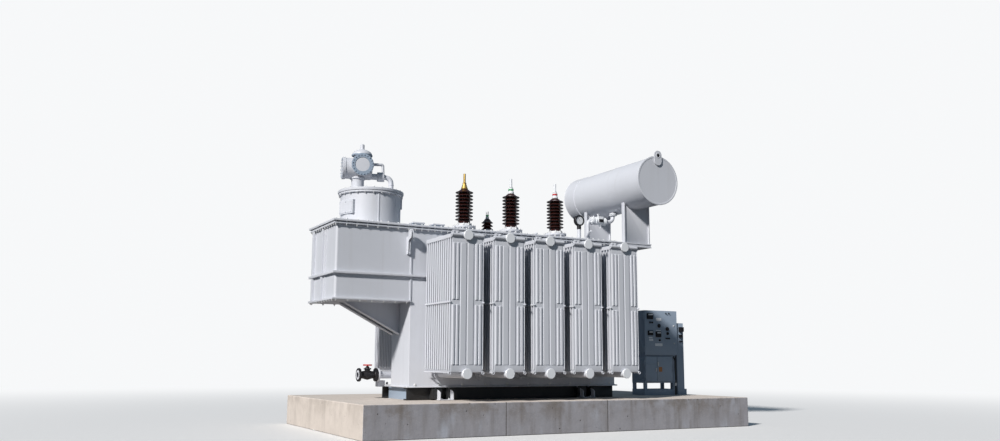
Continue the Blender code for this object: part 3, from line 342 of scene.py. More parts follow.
class Finish:
    """A material built from nodes; its fields feed the shader's sockets at the end."""

    def __init__(self, name):
        self.material = bpy.data.materials.new(name)
        self.material.use_nodes = True
        self.tree = self.material.node_tree
        self.shader = self.tree.nodes["Principled BSDF"]
        self.place = self.node("ShaderNodeTexCoord", output="Object")

    def node(self, kind, settings=None, inputs=None, output=0):
        """Adds a node, sets it up, feeds its sockets and returns one of its outputs."""
        node = self.tree.nodes.new(kind)
        for setting, value in (settings or {}).items():
            setattr(node, setting, value)
        for socket, value in (inputs or {}).items():
            self.feed(node.inputs[socket], value)
        return Field(self, node.outputs[output])

    def feed(self, socket, value):
        if isinstance(value, Field):
            self.tree.links.new(value.socket, socket)
        else:
            socket.default_value = value

    def stretched(self, scale):
        return self.node("ShaderNodeMapping", None, {"Vector": self.place, "Scale": scale})

    def noise(self, scale, detail=3.0, vector=None, roughness=0.55):
        inputs = {"Vector": vector or self.place, "Scale": scale, "Detail": detail, "Roughness": roughness}
        return self.node("ShaderNodeTexNoise", None, inputs)

    def cells(self, scale):
        return self.node("ShaderNodeTexVoronoi", None, {"Vector": self.place, "Scale": scale})

    def part_of(self, vector, axis):
        return self.node("ShaderNodeSeparateXYZ", None, {0: vector}, "XYZ".index(axis))

    def part_of_place(self, axis):
        return self.part_of(self.place, axis)

    def normal(self):
        return self.node("ShaderNodeNewGeometry", output="Normal")

    def facing_axis(self, axis):
        return self.part_of(self.normal(), axis)

    def edges(self, radius):
        """1 along sharp edges and 0 on flat ground."""
        rounded = self.node("ShaderNodeBevel", {"samples": 4}, {"Radius": radius})
        both = {0: rounded, 1: self.normal()}
        likeness = self.node("ShaderNodeVectorMath", {"operation": "DOT_PRODUCT"}, both, "Value")
        return likeness.below(0.86, 0.99)

    def blend(self, mask, first, second, way="MIX"):
        """Goes from the first colour to the second as the mask goes from 0 to 1."""
        node = self.tree.nodes.new("ShaderNodeMix")
        node.data_type = "RGBA"
        node.blend_type = way
        # A Mix node's sockets for colours come after those for numbers and vectors
        for socket, value in ((0, mask), (6, first), (7, second)):
            self.feed(node.inputs[socket], value)
        return Field(self, node.outputs[2])

    def bump(self, height, distance, strength=1.0, under=None):
        inputs = {"Height": height, "Distance": distance, "Strength": strength}
        if under:
            inputs["Normal"] = under
        return self.node("ShaderNodeBump", None, inputs)

    def done(self, **sockets):
        for name, value in sockets.items():
            self.feed(self.shader.inputs[name.replace("_", " ")], value)
        return self.material


def tint(colour, share):
    """A colour made lighter or darker by a share."""
    return tuple(min(1.0, part * share) for part in colour[:3]) + (1.0,)


def paint_finish(name, colour, grime=(0.30, 0.28, 0.25, 1.0), edge_wear_and_highlight=0.35, roughness=0.42):
    """Sprayed steel: cloudiness, rain streaks, settled dust, orange peel, and edges paler partly from
    rubbing, partly as painted highlight.
    """
    paint = Finish(name)
    clouds = paint.noise(0.9, 4)
    streaks = paint.noise(1.0, 5, paint.stretched((11, 11, 0.55))).above(0.50, 0.78)
    specks = paint.noise(55, 3).above(0.66, 0.74)
    upward = paint.facing_axis("Z").above(0.6, 0.95)
    patches = paint.noise(6.0, 5).above(0.45, 0.70)
    edge = paint.edges(0.006) * paint.noise(24, 3).above(0.42, 0.60)
    shade = paint.blend(clouds, tint(colour, 0.93), tint(colour, 1.06))
    shade = paint.blend(streaks * 0.11, shade, grime)
    shade = paint.blend(specks * 0.10, shade, grime)
    shade = paint.blend(upward * patches * 0.30, shade, (0.42, 0.39, 0.34, 1.0))
    # Sharp edges made paler in patches: partly rubbed paint, partly a painted highlight where edges catch the
    # light.
    shade = paint.blend(edge * edge_wear_and_highlight, shade, tint(colour, 1.25))
    matt = 0.10 * clouds + roughness - 0.05 + streaks * 0.10 + upward * 0.15
    peel = paint.bump(paint.noise(140, 2), 0.0006, 0.35)
    waves = paint.bump(paint.noise(2.2, 2), 0.006, 0.22, peel)
    return paint.done(Base_Color=shade, Roughness=matt, Normal=waves)


def concrete_finish(name, colour):
    """Cast concrete: board marks, damp stains from the top, pits, painted shade on the front faces, and a
    paler top edge, partly rubbed and partly a painted highlight.
    """
    cast = Finish(name)
    clouds = cast.noise(1.6, 6, roughness=0.62)
    blotches = cast.noise(5.5, 6, roughness=0.65).above(0.40, 0.68)
    runs = cast.noise(1.0, 6, cast.stretched((6.5, 6.5, 0.7))).above(0.46, 0.74)
    sand = cast.noise(90, 4)
    pits = cast.cells(26).below(0.06, 0.13) * cast.noise(7, 2).above(0.46, 0.56)
    holes = cast.cells(7.5).below(0.055, 0.085) * cast.noise(3, 2).above(0.40, 0.50)
    pits = pits * 0.5 + holes
    salts = cast.noise(1.0, 5, cast.stretched((2.6, 2.6, 1.4))).above(0.50, 0.72)
    damp = cast.part_of_place("Z").above(0.08, 0.44)
    damp = damp * cast.noise(2.3, 6, roughness=0.65).above(0.42, 0.62)
    front = (0 - cast.facing_axis("Y")).above(0.5, 0.9)
    side = 1 - cast.facing_axis("Z").above(0.5, 0.9)
    # Paler along the top edges only: partly rubbed concrete, partly a painted highlight where the top edge
    # catches the light.
    edge = cast.edges(0.016) * cast.noise(15, 4).above(0.40, 0.58)
    edge = edge * cast.part_of_place("Z").above(0.40, 0.44)
    shade = cast.blend(clouds, tint(colour, 0.84), tint(colour, 1.12))
    shade = cast.blend(blotches * 0.22, shade, tint(colour, 0.66))
    # Faces turned to -Y are multiplied to a darker blue-grey: painted shade for the side the key light only
    # grazes.
    shade = cast.blend(front, shade, (0.50, 0.55, 0.66, 1.0), "MULTIPLY")
    shade = cast.blend(front * salts * 0.60, shade, (0.50, 0.54, 0.62, 1.0))
    shade = cast.blend(side * runs * (0.20 + front * 0.30), shade, (0.13, 0.11, 0.09, 1.0))
    shade = cast.blend(side * damp * (0.25 + front * 0.35), shade, (0.15, 0.12, 0.09, 1.0))
    shade = cast.blend(pits * 0.75, shade, (0.05, 0.045, 0.04, 1.0))
    shade = cast.blend(sand.above(0.58, 0.68) * 0.16, shade, tint(colour, 1.3))
    shade = cast.blend(edge * 0.6, shade, tint(colour, 1.25))
    for joint in PLINTH_JOINTS:
        offset = cast.part_of_place("X") - joint
        line = (offset * offset).below(0.00002, 0.00009)
        shade = cast.blend(line * 0.8, shade, (0.06, 0.055, 0.05, 1.0))
    relief = sand * 0.3 + clouds * 1.2 - pits * 2.5 + blotches * 0.5
    boards = cast.bump(cast.noise(1.0, 3, cast.stretched((5.0, 5.0, 0.05))), 0.010, 0.35)
    matt = 0.86 + sand * 0.12
    return cast.done(Base_Color=shade, Roughness=matt, Normal=cast.bump(relief, 0.004, 0.7, boards))


def porcelain_finish(name, colour):
    """Brown glaze, a little uneven in its pour, with dust lying on the sheds."""
    glaze = Finish(name)
    pour = glaze.noise(9, 4)
    dust = glaze.facing_axis("Z").above(0.35, 0.9) * glaze.noise(30, 4).above(0.35, 0.75)
    shade = glaze.blend(pour, tint(colour, 0.6), tint(colour, 1.5))
    shade = glaze.blend(dust * 0.06, shade, (0.30, 0.24, 0.20, 1.0))
    matt = 0.07 + pour * 0.10 + dust * 0.2
    return glaze.done(Base_Color=shade, Roughness=matt, Coat_Weight=0.2,
                      Normal=glaze.bump(glaze.noise(40, 2), 0.0008, 0.3))


def metal_finish(name, colour, roughness=0.45, metallic=0.9, rust=0.2):
    """Bare or plated metal with spots of rust, a cast or brushed surface and a painted highlight along its
    sharp edges.
    """
    metal = Finish(name)
    clouds = metal.noise(18, 5)
    spots = metal.noise(42, 5).above(0.56, 0.70)
    edge = metal.edges(0.004)
    shade = metal.blend(clouds, tint(colour, 0.75), tint(colour, 1.2))
    shade = metal.blend(spots * rust, shade, (0.16, 0.07, 0.035, 1.0))
    # Paler along every sharp edge: a painted highlight.
    shade = metal.blend(edge * 0.4, shade, tint(colour, 1.6))
    matt = roughness + clouds * 0.2
    bare = metallic * (1 - spots * rust)
    return metal.done(Base_Color=shade, Roughness=matt, Metallic=bare,
                      Normal=metal.bump(metal.noise(160, 3), 0.0005, 0.5))


def rubber_finish(name, colour):
    """Black sheath, grey where dust clings to it."""
    sheath = Finish(name)
    dust = sheath.noise(20, 5).above(0.45, 0.75)
    shade = sheath.blend(dust * 0.3, tint(colour, 1.0), (0.14, 0.13, 0.12, 1.0))
    return sheath.done(Base_Color=shade, Roughness=0.6 + dust * 0.25,
                       Normal=sheath.bump(sheath.noise(220, 2), 0.0004, 0.4))


# Settings that a user would change

def length(name, description, default, low=0.0, high=2.0):
    return FloatProperty(name=name, description=description, default=default, min=low, max=high,
                         unit="LENGTH", subtype="DISTANCE", precision=4)


def colour_of(name, description, default):
    return FloatVectorProperty(name=name, description=description, default=default, size=3, min=0.0,
                               max=1.0, subtype="COLOR")


def strength(name, description, default):
    return FloatProperty(name=name, description=description, default=default, min=0.0, max=20.0)


def turned(name, description, degrees):
    return FloatProperty(name=name, description=description, default=math.radians(degrees),
                         subtype="ANGLE")


class FinishSettings(bpy.types.PropertyGroup):
    """Colours of the transformer's finishes."""
    paint: colour_of("Grey paint", "Tank, radiators and fittings", (0.59, 0.61, 0.66))
    cabinet: colour_of("Cabinet paint", "Control cabinets and cable column", (0.28, 0.345, 0.43))
    # Near black: painted shade for the beams in the dark under the tank, which wear the tank's grey paint.
    skid: colour_of("Skid painted shade", "Beams under the tank", (0.014, 0.015, 0.017))
    concrete: colour_of("Concrete", "Cast plinth", (0.68, 0.61, 0.55))
    porcelain: colour_of("Porcelain", "Brown glaze of the bushings", (0.030, 0.006, 0.004))
    iron: colour_of("Black iron", "Drain valve and gauge housing", (0.016, 0.016, 0.019))
    red: colour_of("Red paint", "Handwheel and phase rings", (0.50, 0.03, 0.03))
    zinc: colour_of("Zinc", "Bolts and small fittings", (0.70, 0.71, 0.72))
    brass: colour_of("Brass", "Terminal cap of the first bushing", (0.62, 0.42, 0.13))


class SizeSettings(bpy.types.PropertyGroup):
    """Sizes of the small pieces that dress the model."""
    bolt: length("Bolt size", "Half the width of a flange bolt's head", 0.0155, 0.004, 0.04)
    bolt_pitch: length("Bolt pitch", "Distance between bolts along the cover", 0.105, 0.05, 0.4)
    edge: length("Edge rounding", "Rounding of plate edges", 0.004, 0.001, 0.02)
    corner: length("Box corner", "Rounding of the side box's upright corners", 0.035, 0.005, 0.06)
    channel: length("Channel height", "How far a radiator panel's channels stand out", 0.012, 0.002, 0.02)
    shed_lip: length("Shed lip", "Thickness of a bushing shed at its edge", 0.009, 0.002, 0.02)
    weld: length("Weld bead", "Radius of a weld bead", 0.004, 0.002, 0.02)
    panels: IntProperty(name="Panels", description="Panels in a radiator", default=12, min=2, max=12)


class StageSettings(bpy.types.PropertyGroup):
    """Floor, lamp and camera."""
    floor: colour_of("Floor", "Plain pale floor", (0.80, 0.80, 0.80))
    key: strength("Key light", "Strength of the main lamp", 4.5)
    fill: strength("Fill light", "Strength of the surrounding light", 0.20)
    camera_place: FloatVectorProperty(name="Camera place", description="Where the camera stands",
                                      size=3, default=(-7.1313, -12.8318, 1.0162),
                                      subtype="TRANSLATION", unit="LENGTH")
    pitch: turned("Pitch", "How far the camera looks up", 9.061)
    yaw: turned("Yaw", "How far the camera looks to the right", 28.266)
    roll: turned("Roll", "How far the camera leans", 0.257)
    lens: FloatProperty(name="Lens", description="Focal length in millimetres", default=31.85,
                        min=10.0, max=200.0)


def finishes():
    """The materials, made once from the colours."""
    if "transformer paint" not in bpy.data.materials:
        colours = bpy.context.scene.transformer_finishes
        paint_finish("transformer paint", colours.paint)
        paint_finish("cabinet paint", colours.cabinet, (0.30, 0.30, 0.30, 1.0), 0.5, 0.38)
        # The skids' near-black colour is painted shade under the tank.
        paint_finish("skid painted shade", colours.skid, (0.10, 0.08, 0.06, 1.0), 0.6, 0.5)
        paint_finish("red paint", colours.red, (0.12, 0.05, 0.04, 1.0), 0.5, 0.35)
        concrete_finish("cast concrete", colours.concrete)
        porcelain_finish("brown glaze", colours.porcelain)
        metal_finish("black iron", colours.iron, 0.40, 0.3, 0.10)
        metal_finish("zinc", colours.zinc, 0.42, 0.25, 0.06)
        metal_finish("brass", colours.brass, 0.35, 0.85, 0.05)
        rubber_finish("black rubber", (0.02, 0.02, 0.02))
        paint_finish("green paint", (0.05, 0.30, 0.10), (0.1, 0.1, 0.08, 1.0), 0.3, 0.35)
        paint_finish("white enamel", (0.74, 0.765, 0.80), (0.4, 0.38, 0.35, 1.0), 0.2, 0.3)
        paint_finish("brown plate", (0.42, 0.17, 0.05), (0.15, 0.1, 0.06, 1.0), 0.4, 0.4)
    return bpy.data.materials


def sizes():
    return bpy.context.scene.transformer_sizes


# Operators

class Dress(bpy.types.Operator):
    """Makes one group of the transformer's pieces."""
    bl_options = {"REGISTER", "UNDO"}

    def execute(self, context):
        self.make(finishes(), sizes())
        return {"FINISHED"}


class TRANSFORMER_OT_stage(bpy.types.Operator):
    """Sets the pale floor, the lamp and the camera"""
    bl_idname = "transformer.stage"
    bl_label = "Stage"

    backdrop = (0.93, 0.94, 0.95, 1.0)
    fade_from, fade_to = 6.0, 24.0
    bounce_share = 0.12
    lamp_colour = (1.0, 0.965, 0.93)
    lamp_angle = math.radians(5)
    lamp_direction = (-0.74, -0.41, 0.53)
    sky = (0.55, 0.77, 1.0, 1.0)

    def execute(self, context):
        scene = context.scene
        settings = scene.transformer_stage
        self.floor(settings)
        self.light(scene, settings)
        self.camera(scene, settings)
        scene.view_settings.view_transform = "Standard"
        return {"FINISHED"}

    def floor(self, settings):
        """A pale floor that fades into the backdrop; light that bounces off it sees a darker ground."""
        bm = bmesh.new()
        bmesh.ops.create_circle(bm, cap_ends=True, segments=96, radius=70)
        mesh = shape_from(bm)
        floor = bpy.data.objects.new("floor", mesh)
        bpy.context.scene.collection.objects.link(floor)
        pale = Finish("pale floor")
        path = pale.tree.nodes.new("ShaderNodeLightPath")
        seen = Field(pale, path.outputs["Is Camera Ray"])
        distance = pale.node("ShaderNodeVectorMath", {"operation": "LENGTH"}, {0: pale.place}, "Value")
        far = distance.above(self.fade_from, self.fade_to)
        ground = pale.blend(seen, tint(settings.floor, self.bounce_share), tint(settings.floor, 1.0))
        pale.done(Base_Color=ground, Roughness=0.9)
        backdrop = pale.tree.nodes.new("ShaderNodeEmission")
        backdrop.inputs["Color"].default_value = self.backdrop
        fade = pale.tree.nodes.new("ShaderNodeMixShader")
        pale.feed(fade.inputs[0], far * seen)
        links = pale.tree.links
        links.new(pale.shader.outputs[0], fade.inputs[1])
        links.new(backdrop.outputs[0], fade.inputs[2])
        links.new(fade.outputs[0], pale.tree.nodes["Material Output"].inputs["Surface"])
        mesh.materials.append(pale.material)

    def light(self, scene, settings):
        key = bpy.data.lights.new("key", "SUN")
        key.energy = settings.key
        key.color = self.lamp_colour
        key.angle = self.lamp_angle
        lamp = bpy.data.objects.new("key", key)
        lamp.matrix_world = at((-8, -6, 9), self.lamp_direction)
        scene.collection.objects.link(lamp)
        world = bpy.data.worlds.new("surrounding light")
        scene.world = world
        world.use_nodes = True
        nodes, links = world.node_tree.nodes, world.node_tree.links
        background = nodes["Background"]
        background.inputs["Color"].default_value = self.sky
        background.inputs["Strength"].default_value = settings.fill
        seen = nodes.new("ShaderNodeBackground")
        seen.inputs["Color"].default_value = self.backdrop
        seen.inputs["Strength"].default_value = 1.0
        path = nodes.new("ShaderNodeLightPath")
        mix = nodes.new("ShaderNodeMixShader")
        links.new(path.outputs["Is Camera Ray"], mix.inputs[0])
        links.new(background.outputs[0], mix.inputs[1])
        links.new(seen.outputs[0], mix.inputs[2])
        links.new(mix.outputs[0], nodes["World Output"].inputs["Surface"])

    def camera(self, scene, settings):
        data = bpy.data.cameras.new("camera")
        data.lens = settings.lens
        data.sensor_width = 36.0
        data.clip_end = 200.0
        camera = bpy.data.objects.new("camera", data)
        turn = Matrix.Rotation(-settings.yaw, 4, "Z") @ Matrix.Rotation(math.pi / 2 + settings.pitch, 4, "X")
        turn = turn @ Matrix.Rotation(settings.roll, 4, "Z")
        camera.matrix_world = Matrix.Translation(settings.camera_place) @ turn
        scene.collection.objects.link(camera)
        scene.camera = camera


class TRANSFORMER_OT_plinth(Dress):
    """Dresses the cast concrete plinth with its casting joints"""
    bl_idname = "transformer.plinth"
    bl_label = "Plinth"

    def make(self, looks, size):
        low, high = PLINTH_LOW, PLINTH_HIGH
        middle = (low + high) / 2
        groove, deep = 0.006, 0.009
        bm = bmesh.new()
        bmesh.ops.create_cube(bm, size=1.0)
        bmesh.ops.scale(bm, vec=high - low, verts=bm.verts)
        bmesh.ops.translate(bm, vec=middle, verts=bm.verts)
        for joint in PLINTH_JOINTS:
            for x in (joint - groove, joint, joint + groove):
                bmesh.ops.bisect_plane(bm, geom=bm.verts[:] + bm.edges[:] + bm.faces[:], dist=0.0001,
                                       plane_co=(x, 0, 0), plane_no=(1, 0, 0))
            for vert in bm.verts:
                if abs(vert.co.x - joint) < groove / 3:
                    vert.co.y += math.copysign(deep, middle.y - vert.co.y)
                    vert.co.z += math.copysign(deep, middle.z - vert.co.z)
        obj = finish_object("plinth_dressed", shape_from(bm), looks["cast concrete"], BODY,
                            ["concrete_plinth"])
        chamfer = obj.modifiers.new("chamfer", "BEVEL")
        chamfer.width = 0.016
        chamfer.segments = 3
        chamfer.limit_method = "ANGLE"
        chamfer.angle_limit = math.radians(60)
        chamfer.harden_normals = True
        obj.modifiers.move(1, 0)


class TRANSFORMER_OT_underframe(Dress):
    """Dresses the skids and cross beams, and adds brackets and a strip round the tank's foot"""
    bl_idname = "transformer.underframe"
    bl_label = "Underframe"

    bracket_places = (-1.64, 0.818)
    bracket_half = 0.104
    foot_bolt_pitch = 0.36
    strip_height = 0.015
    strip_beyond = 0.03

    def make(self, looks, size):
        # Skids take the near-black colour and cross beams the darker cabinet paint: both painted shade under
        # the tank.
        for node, paint in (("skid_front", "skid painted shade"), ("skid_rear", "skid painted shade"),
                            ("cross_beam_left", "cabinet paint"), ("cross_beam_right", "cabinet paint")):
            rounded_copy(node, looks[paint], 0.003, 2)
        pads = Piece("jacking_pads")
        left, right = TANK_LEFT - self.strip_beyond, TANK_RIGHT + self.strip_beyond
        strip_top = TANK_FOOT + self.strip_height
        for wall, outward in ((TANK_FRONT, -1), (TANK_REAR, 1)):
            for x in self.bracket_places:
                self.bracket(pads, x, wall, outward, size)
            for x in steps_between(TANK_LEFT + 0.10, TANK_RIGHT - 0.10, self.foot_bolt_pitch):
                pads.add(bolt_shape(size.bolt), at((x, wall, TANK_FOOT + 0.04), (0, outward, 0)), 1)
            near, far = sorted((wall + outward * 0.032, wall - outward * 0.01))
            pads.block((left, near, TANK_FOOT), (right, far, strip_top), 0.003, 2)
        pads.block((left, TANK_FRONT, TANK_FOOT), (TANK_LEFT + 0.01, 0.0, strip_top), 0.003, 2)
        sump_low = (TANK_LEFT - 0.10, 0.10, TANK_FOOT - 0.010)
        pads.block(sump_low, (TANK_LEFT + 0.02, 0.20, TANK_FOOT + 0.085), 0.006, 2)
        pads.done([looks["transformer paint"], looks["zinc"]])

    def bracket(self, pads, x, wall, outward, size):
        """A jacking bracket: two cheeks, high at the wall and low in front, on a base flange."""
        top = TANK_FOOT - 0.004
        foot = PLINTH_TOP + 0.002
        tip = wall + outward * 0.155
        root = wall - outward * 0.035
        half = self.bracket_half
        outline = [(root, foot), (tip, foot), (tip, foot + 0.105), (tip - outward * 0.03, foot + 0.125),
                   (root, top)]
        washer = round_shape([(0.012, 0), (0.022, 0), (0.022, 0.005), (0.012, 0.005), (0.012, 0)], 20)
        nut = nut_shape(size.bolt * 0.8)
        for side in (-1, 1):
            cheek = x + side * half
            pads.add(plate_shape(outline, 0.014, "YZ", cheek - 0.007, 0.002))
            pads.add(washer, at((cheek + side * 0.006, tip - outward * 0.060, foot + 0.055), (side, 0, 0)))
            pads.add(nut, at((x + side * 0.060, tip - outward * 0.06, foot + 0.010)), 1)
        near, far = sorted((tip, root))
        pads.block((x - half - 0.012, near, foot), (x + half + 0.012, far, foot + 0.010), 0.003, 2)


class TRANSFORMER_OT_tank(Dress):
    """Dresses the tank walls, the rim and the bolted cover"""
    bl_idname = "transformer.tank"
    bl_label = "Tank and cover"

    gap = 0.012
    flange = 0.024
    hook_height = 0.37

    def make(self, looks, size):
        paint = looks["transformer paint"]
        rounded_copy("tank_lower", paint, 0.014)
        low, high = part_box("tank_upper")
        upper = Piece("tank_upper_dressed")
        upper.block((low.x, TANK_FRONT, low.z), (high.x, TANK_REAR, high.z), 0.012, 3)
        upper.done(paint, replaced=["tank_upper"])
        rounded_copy("tank_rim", paint, size.edge)
        rounded_copy("tank_cover", paint, size.edge)
        self.cover_flange(paint, size)
        self.cover_bolts(looks, size)
        self.welds(paint, size)
        self.hooks(paint)

    def cover_flange(self, paint, size):
        """The flange ring that the cover is bolted to, round tank and side box."""
        low, high = COVER_LOW, COVER_HIGH
        top = low.z - self.gap
        under = top - self.flange
        inset = 0.018
        ring = Piece("cover_flange")
        x0, x1 = low.x + inset, high.x - inset
        y0, y1 = low.y + inset, high.y - inset
        ring.block((x0, y0, under), (x1, TANK_FRONT + 0.004, top), size.edge, 2)
        ring.block((x0, TANK_REAR - 0.004, under), (x1, y1, top), size.edge, 2)
        ring.block((x0, TANK_FRONT, under), (BOX_LEFT + 0.004, TANK_REAR, top), size.edge, 2)
        ring.block((TANK_RIGHT - 0.004, TANK_FRONT, under), (x1, TANK_REAR, top), size.edge, 2)
        ring.done(paint)

    def cover_bolts(self, looks, size):
        """Bolts through cover and flange, seen in the gap between them, with long studs below."""
        low, high = COVER_LOW, COVER_HIGH
        inset = 0.032
        under = low.z - self.gap - self.flange
        along = steps_between(low.x + 0.04, TANK_LEFT - 0.06, size.bolt_pitch * 1.5)
        along += steps_between(TANK_LEFT + 0.05, high.x - 0.04, size.bolt_pitch)
        front = [(x, low.y + inset) for x in along]
        rear = [(x, high.y - inset) for x in along]
        left = [(low.x + inset, y) for y in steps_between(low.y + 0.10, high.y - 0.10, size.bolt_pitch)]
        right = [(high.x - inset, y) for _, y in left]
        bolts = Piece("cover_bolts")
        head, nut = bolt_shape(size.bolt * 0.9), nut_shape(size.bolt * 0.8, 1.0)
        sleeve = round_shape([(0, 0), (size.bolt, 0), (size.bolt, self.gap), (0, self.gap)], 10)
        for x, y in front + rear + left + right:
            bolts.add(head, at((x, y, high.z)))
            bolts.add(sleeve, at((x, y, low.z - self.gap)))
            bolts.add(nut, at((x, y, under), (0, 0, -1)))
        bolts.done(looks["zinc"])

    def hooks(self, paint):
        """Lifting hooks: two plates side by side, their heads curled out over a notch for the sling."""
        outline = [(-0.004, 0.0), (0.052, 0.006), (0.060, 0.190), (0.098, 0.218), (0.148, 0.228),
                   (0.168, 0.262), (0.170, 0.322), (0.146, 0.360), (0.104, 0.370), (0.066, 0.352),
                   (0.050, 0.318), (0.070, 0.288), (0.048, 0.262), (-0.004, 0.270)]
        foot = COVER_LOW.z - 0.05 - self.hook_height
        inset, spread, thickness = 0.07, 0.028, 0.012
        hooks = Piece("lifting_hooks")
        for left in (TANK_LEFT - inset, TANK_RIGHT - inset):
            for wall, outward in ((TANK_FRONT, -1), (TANK_REAR, 1)):
                side = [(wall + outward * reach, foot + rise) for reach, rise in outline]
                for start in (left, left + spread):
                    hooks.add(plate_shape(side, thickness, "YZ", start, 0.003, 2))
                for reach, rise, radius in ((0.120, 0.300, 0.022), (0.028, 0.040, 0.014)):
                    width = spread + thickness + 0.006
                    hooks.round([(0, 0), (radius - 0.003, 0), (radius, 0.003), (radius, width - 0.003),
                                 (radius - 0.003, width), (0, width)],
                                (left - 0.003, wall + outward * reach, foot + rise), (1, 0, 0), 24)
        hooks.done(paint)

    def welds(self, paint, size):
        """Beads where the walls meet the rim and the base plate."""
        beads = Piece("tank_weld_beads")
        for z in (RIM_FOOT, RIM_TOP, TANK_FOOT + 0.02):
            left = BOX_LEFT if z > TANK_FOOT + 0.1 else TANK_LEFT
            route = [(left, TANK_FRONT, z), (TANK_RIGHT, TANK_FRONT, z), (TANK_RIGHT, TANK_REAR, z)]
            beads.add(pipe_shape(route, size.weld, 1))
        for low, high in ((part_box("side_box_floor")[1].z, RIM_FOOT), (RIM_TOP, COVER_LOW.z - 0.03)):
            beads.block((TANK_LEFT - 0.012, TANK_FRONT - 0.013, low),
                        (TANK_LEFT + 0.012, TANK_FRONT + 0.005, high), 0.003, 2)
        beads.done(paint)


class TRANSFORMER_OT_side_box(Dress):
    """Dresses the side box with its stiffeners and bolted floor"""
    bl_idname = "transformer.side_box"
    bl_label = "Side box"

    def make(self, looks, size):
        paint = looks["transformer paint"]
        floor_low, floor_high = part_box("side_box_floor")
        right = floor_high.x
        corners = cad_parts["side_box_lower"].data.vertices
        cut = max(vert.co.y for vert in corners if abs(vert.co.x - right) < 0.001)
        far_corner = (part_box("side_box_lower")[1].x, TANK_REAR)
        self.walls("side_box_lower", [(right, TANK_FRONT)], [far_corner, (right, cut)], paint, size)
        self.walls("side_box_upper", [(right, TANK_FRONT)], [(right, TANK_REAR)], paint, size)
        rounded_copy("side_box_floor", paint, size.edge, 2)
        self.ribs(floor_high.z, paint)
        plate_under = floor_high.z - 0.03
        bolts = Piece("side_box_floor_bolts")
        nut = nut_shape(size.bolt * 0.9)
        inset = 0.018
        along = steps_between(floor_low.x + 0.05, TANK_LEFT - 0.06, 0.165)
        across = steps_between(floor_low.y + 0.06, floor_high.y - 0.06, 0.12)
        places = [(x, floor_low.y + inset) for x in along]
        places += [(x, floor_high.y - inset) for x in along]
        places += [(floor_low.x + inset, y) for y in across]
        for x, y in places:
            bolts.add(nut, at((x, y, plate_under), (0, 0, -1)))
        bolts.done(looks["zinc"])

    def walls(self, node, first, last, paint, size):
        """Walls bent from one sheet, round at the two outer corners."""
        low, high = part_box(node)
        radius = size.corner
        outline = list(first)
        for middle, start in ((TANK_FRONT + radius, 270), (TANK_REAR - radius, 180)):
            for step in range(7):
                angle = math.radians(start - 15 * step)
                x = BOX_LEFT + radius + radius * math.cos(angle)
                outline.append((x, middle + radius * math.sin(angle)))
        outline += last
        piece = Piece(node + "_dressed")
        piece.add(plate_shape(outline, high.z - low.z, "XY", low.z, 0.002))
        piece.done(paint, replaced=[node])

    def ribs(self, floor, paint):
        """Upright stiffeners on the end wall: a wide one with a thin one beside it, and a far one."""
        ribs = Piece("side_box_stiffeners")
        for low, high in ((floor, RIM_FOOT), (RIM_TOP, COVER_LOW.z - 0.037)):
            for y, width, proud in ((-0.330, 0.055, 0.030), (-0.435, 0.030, 0.012), (0.105, 0.065, 0.036)):
                ribs.block((BOX_LEFT - proud, y, low + 0.001),
                           (BOX_LEFT + 0.004, y + width, high - 0.001), 0.004, 2)
        ribs.done(paint)


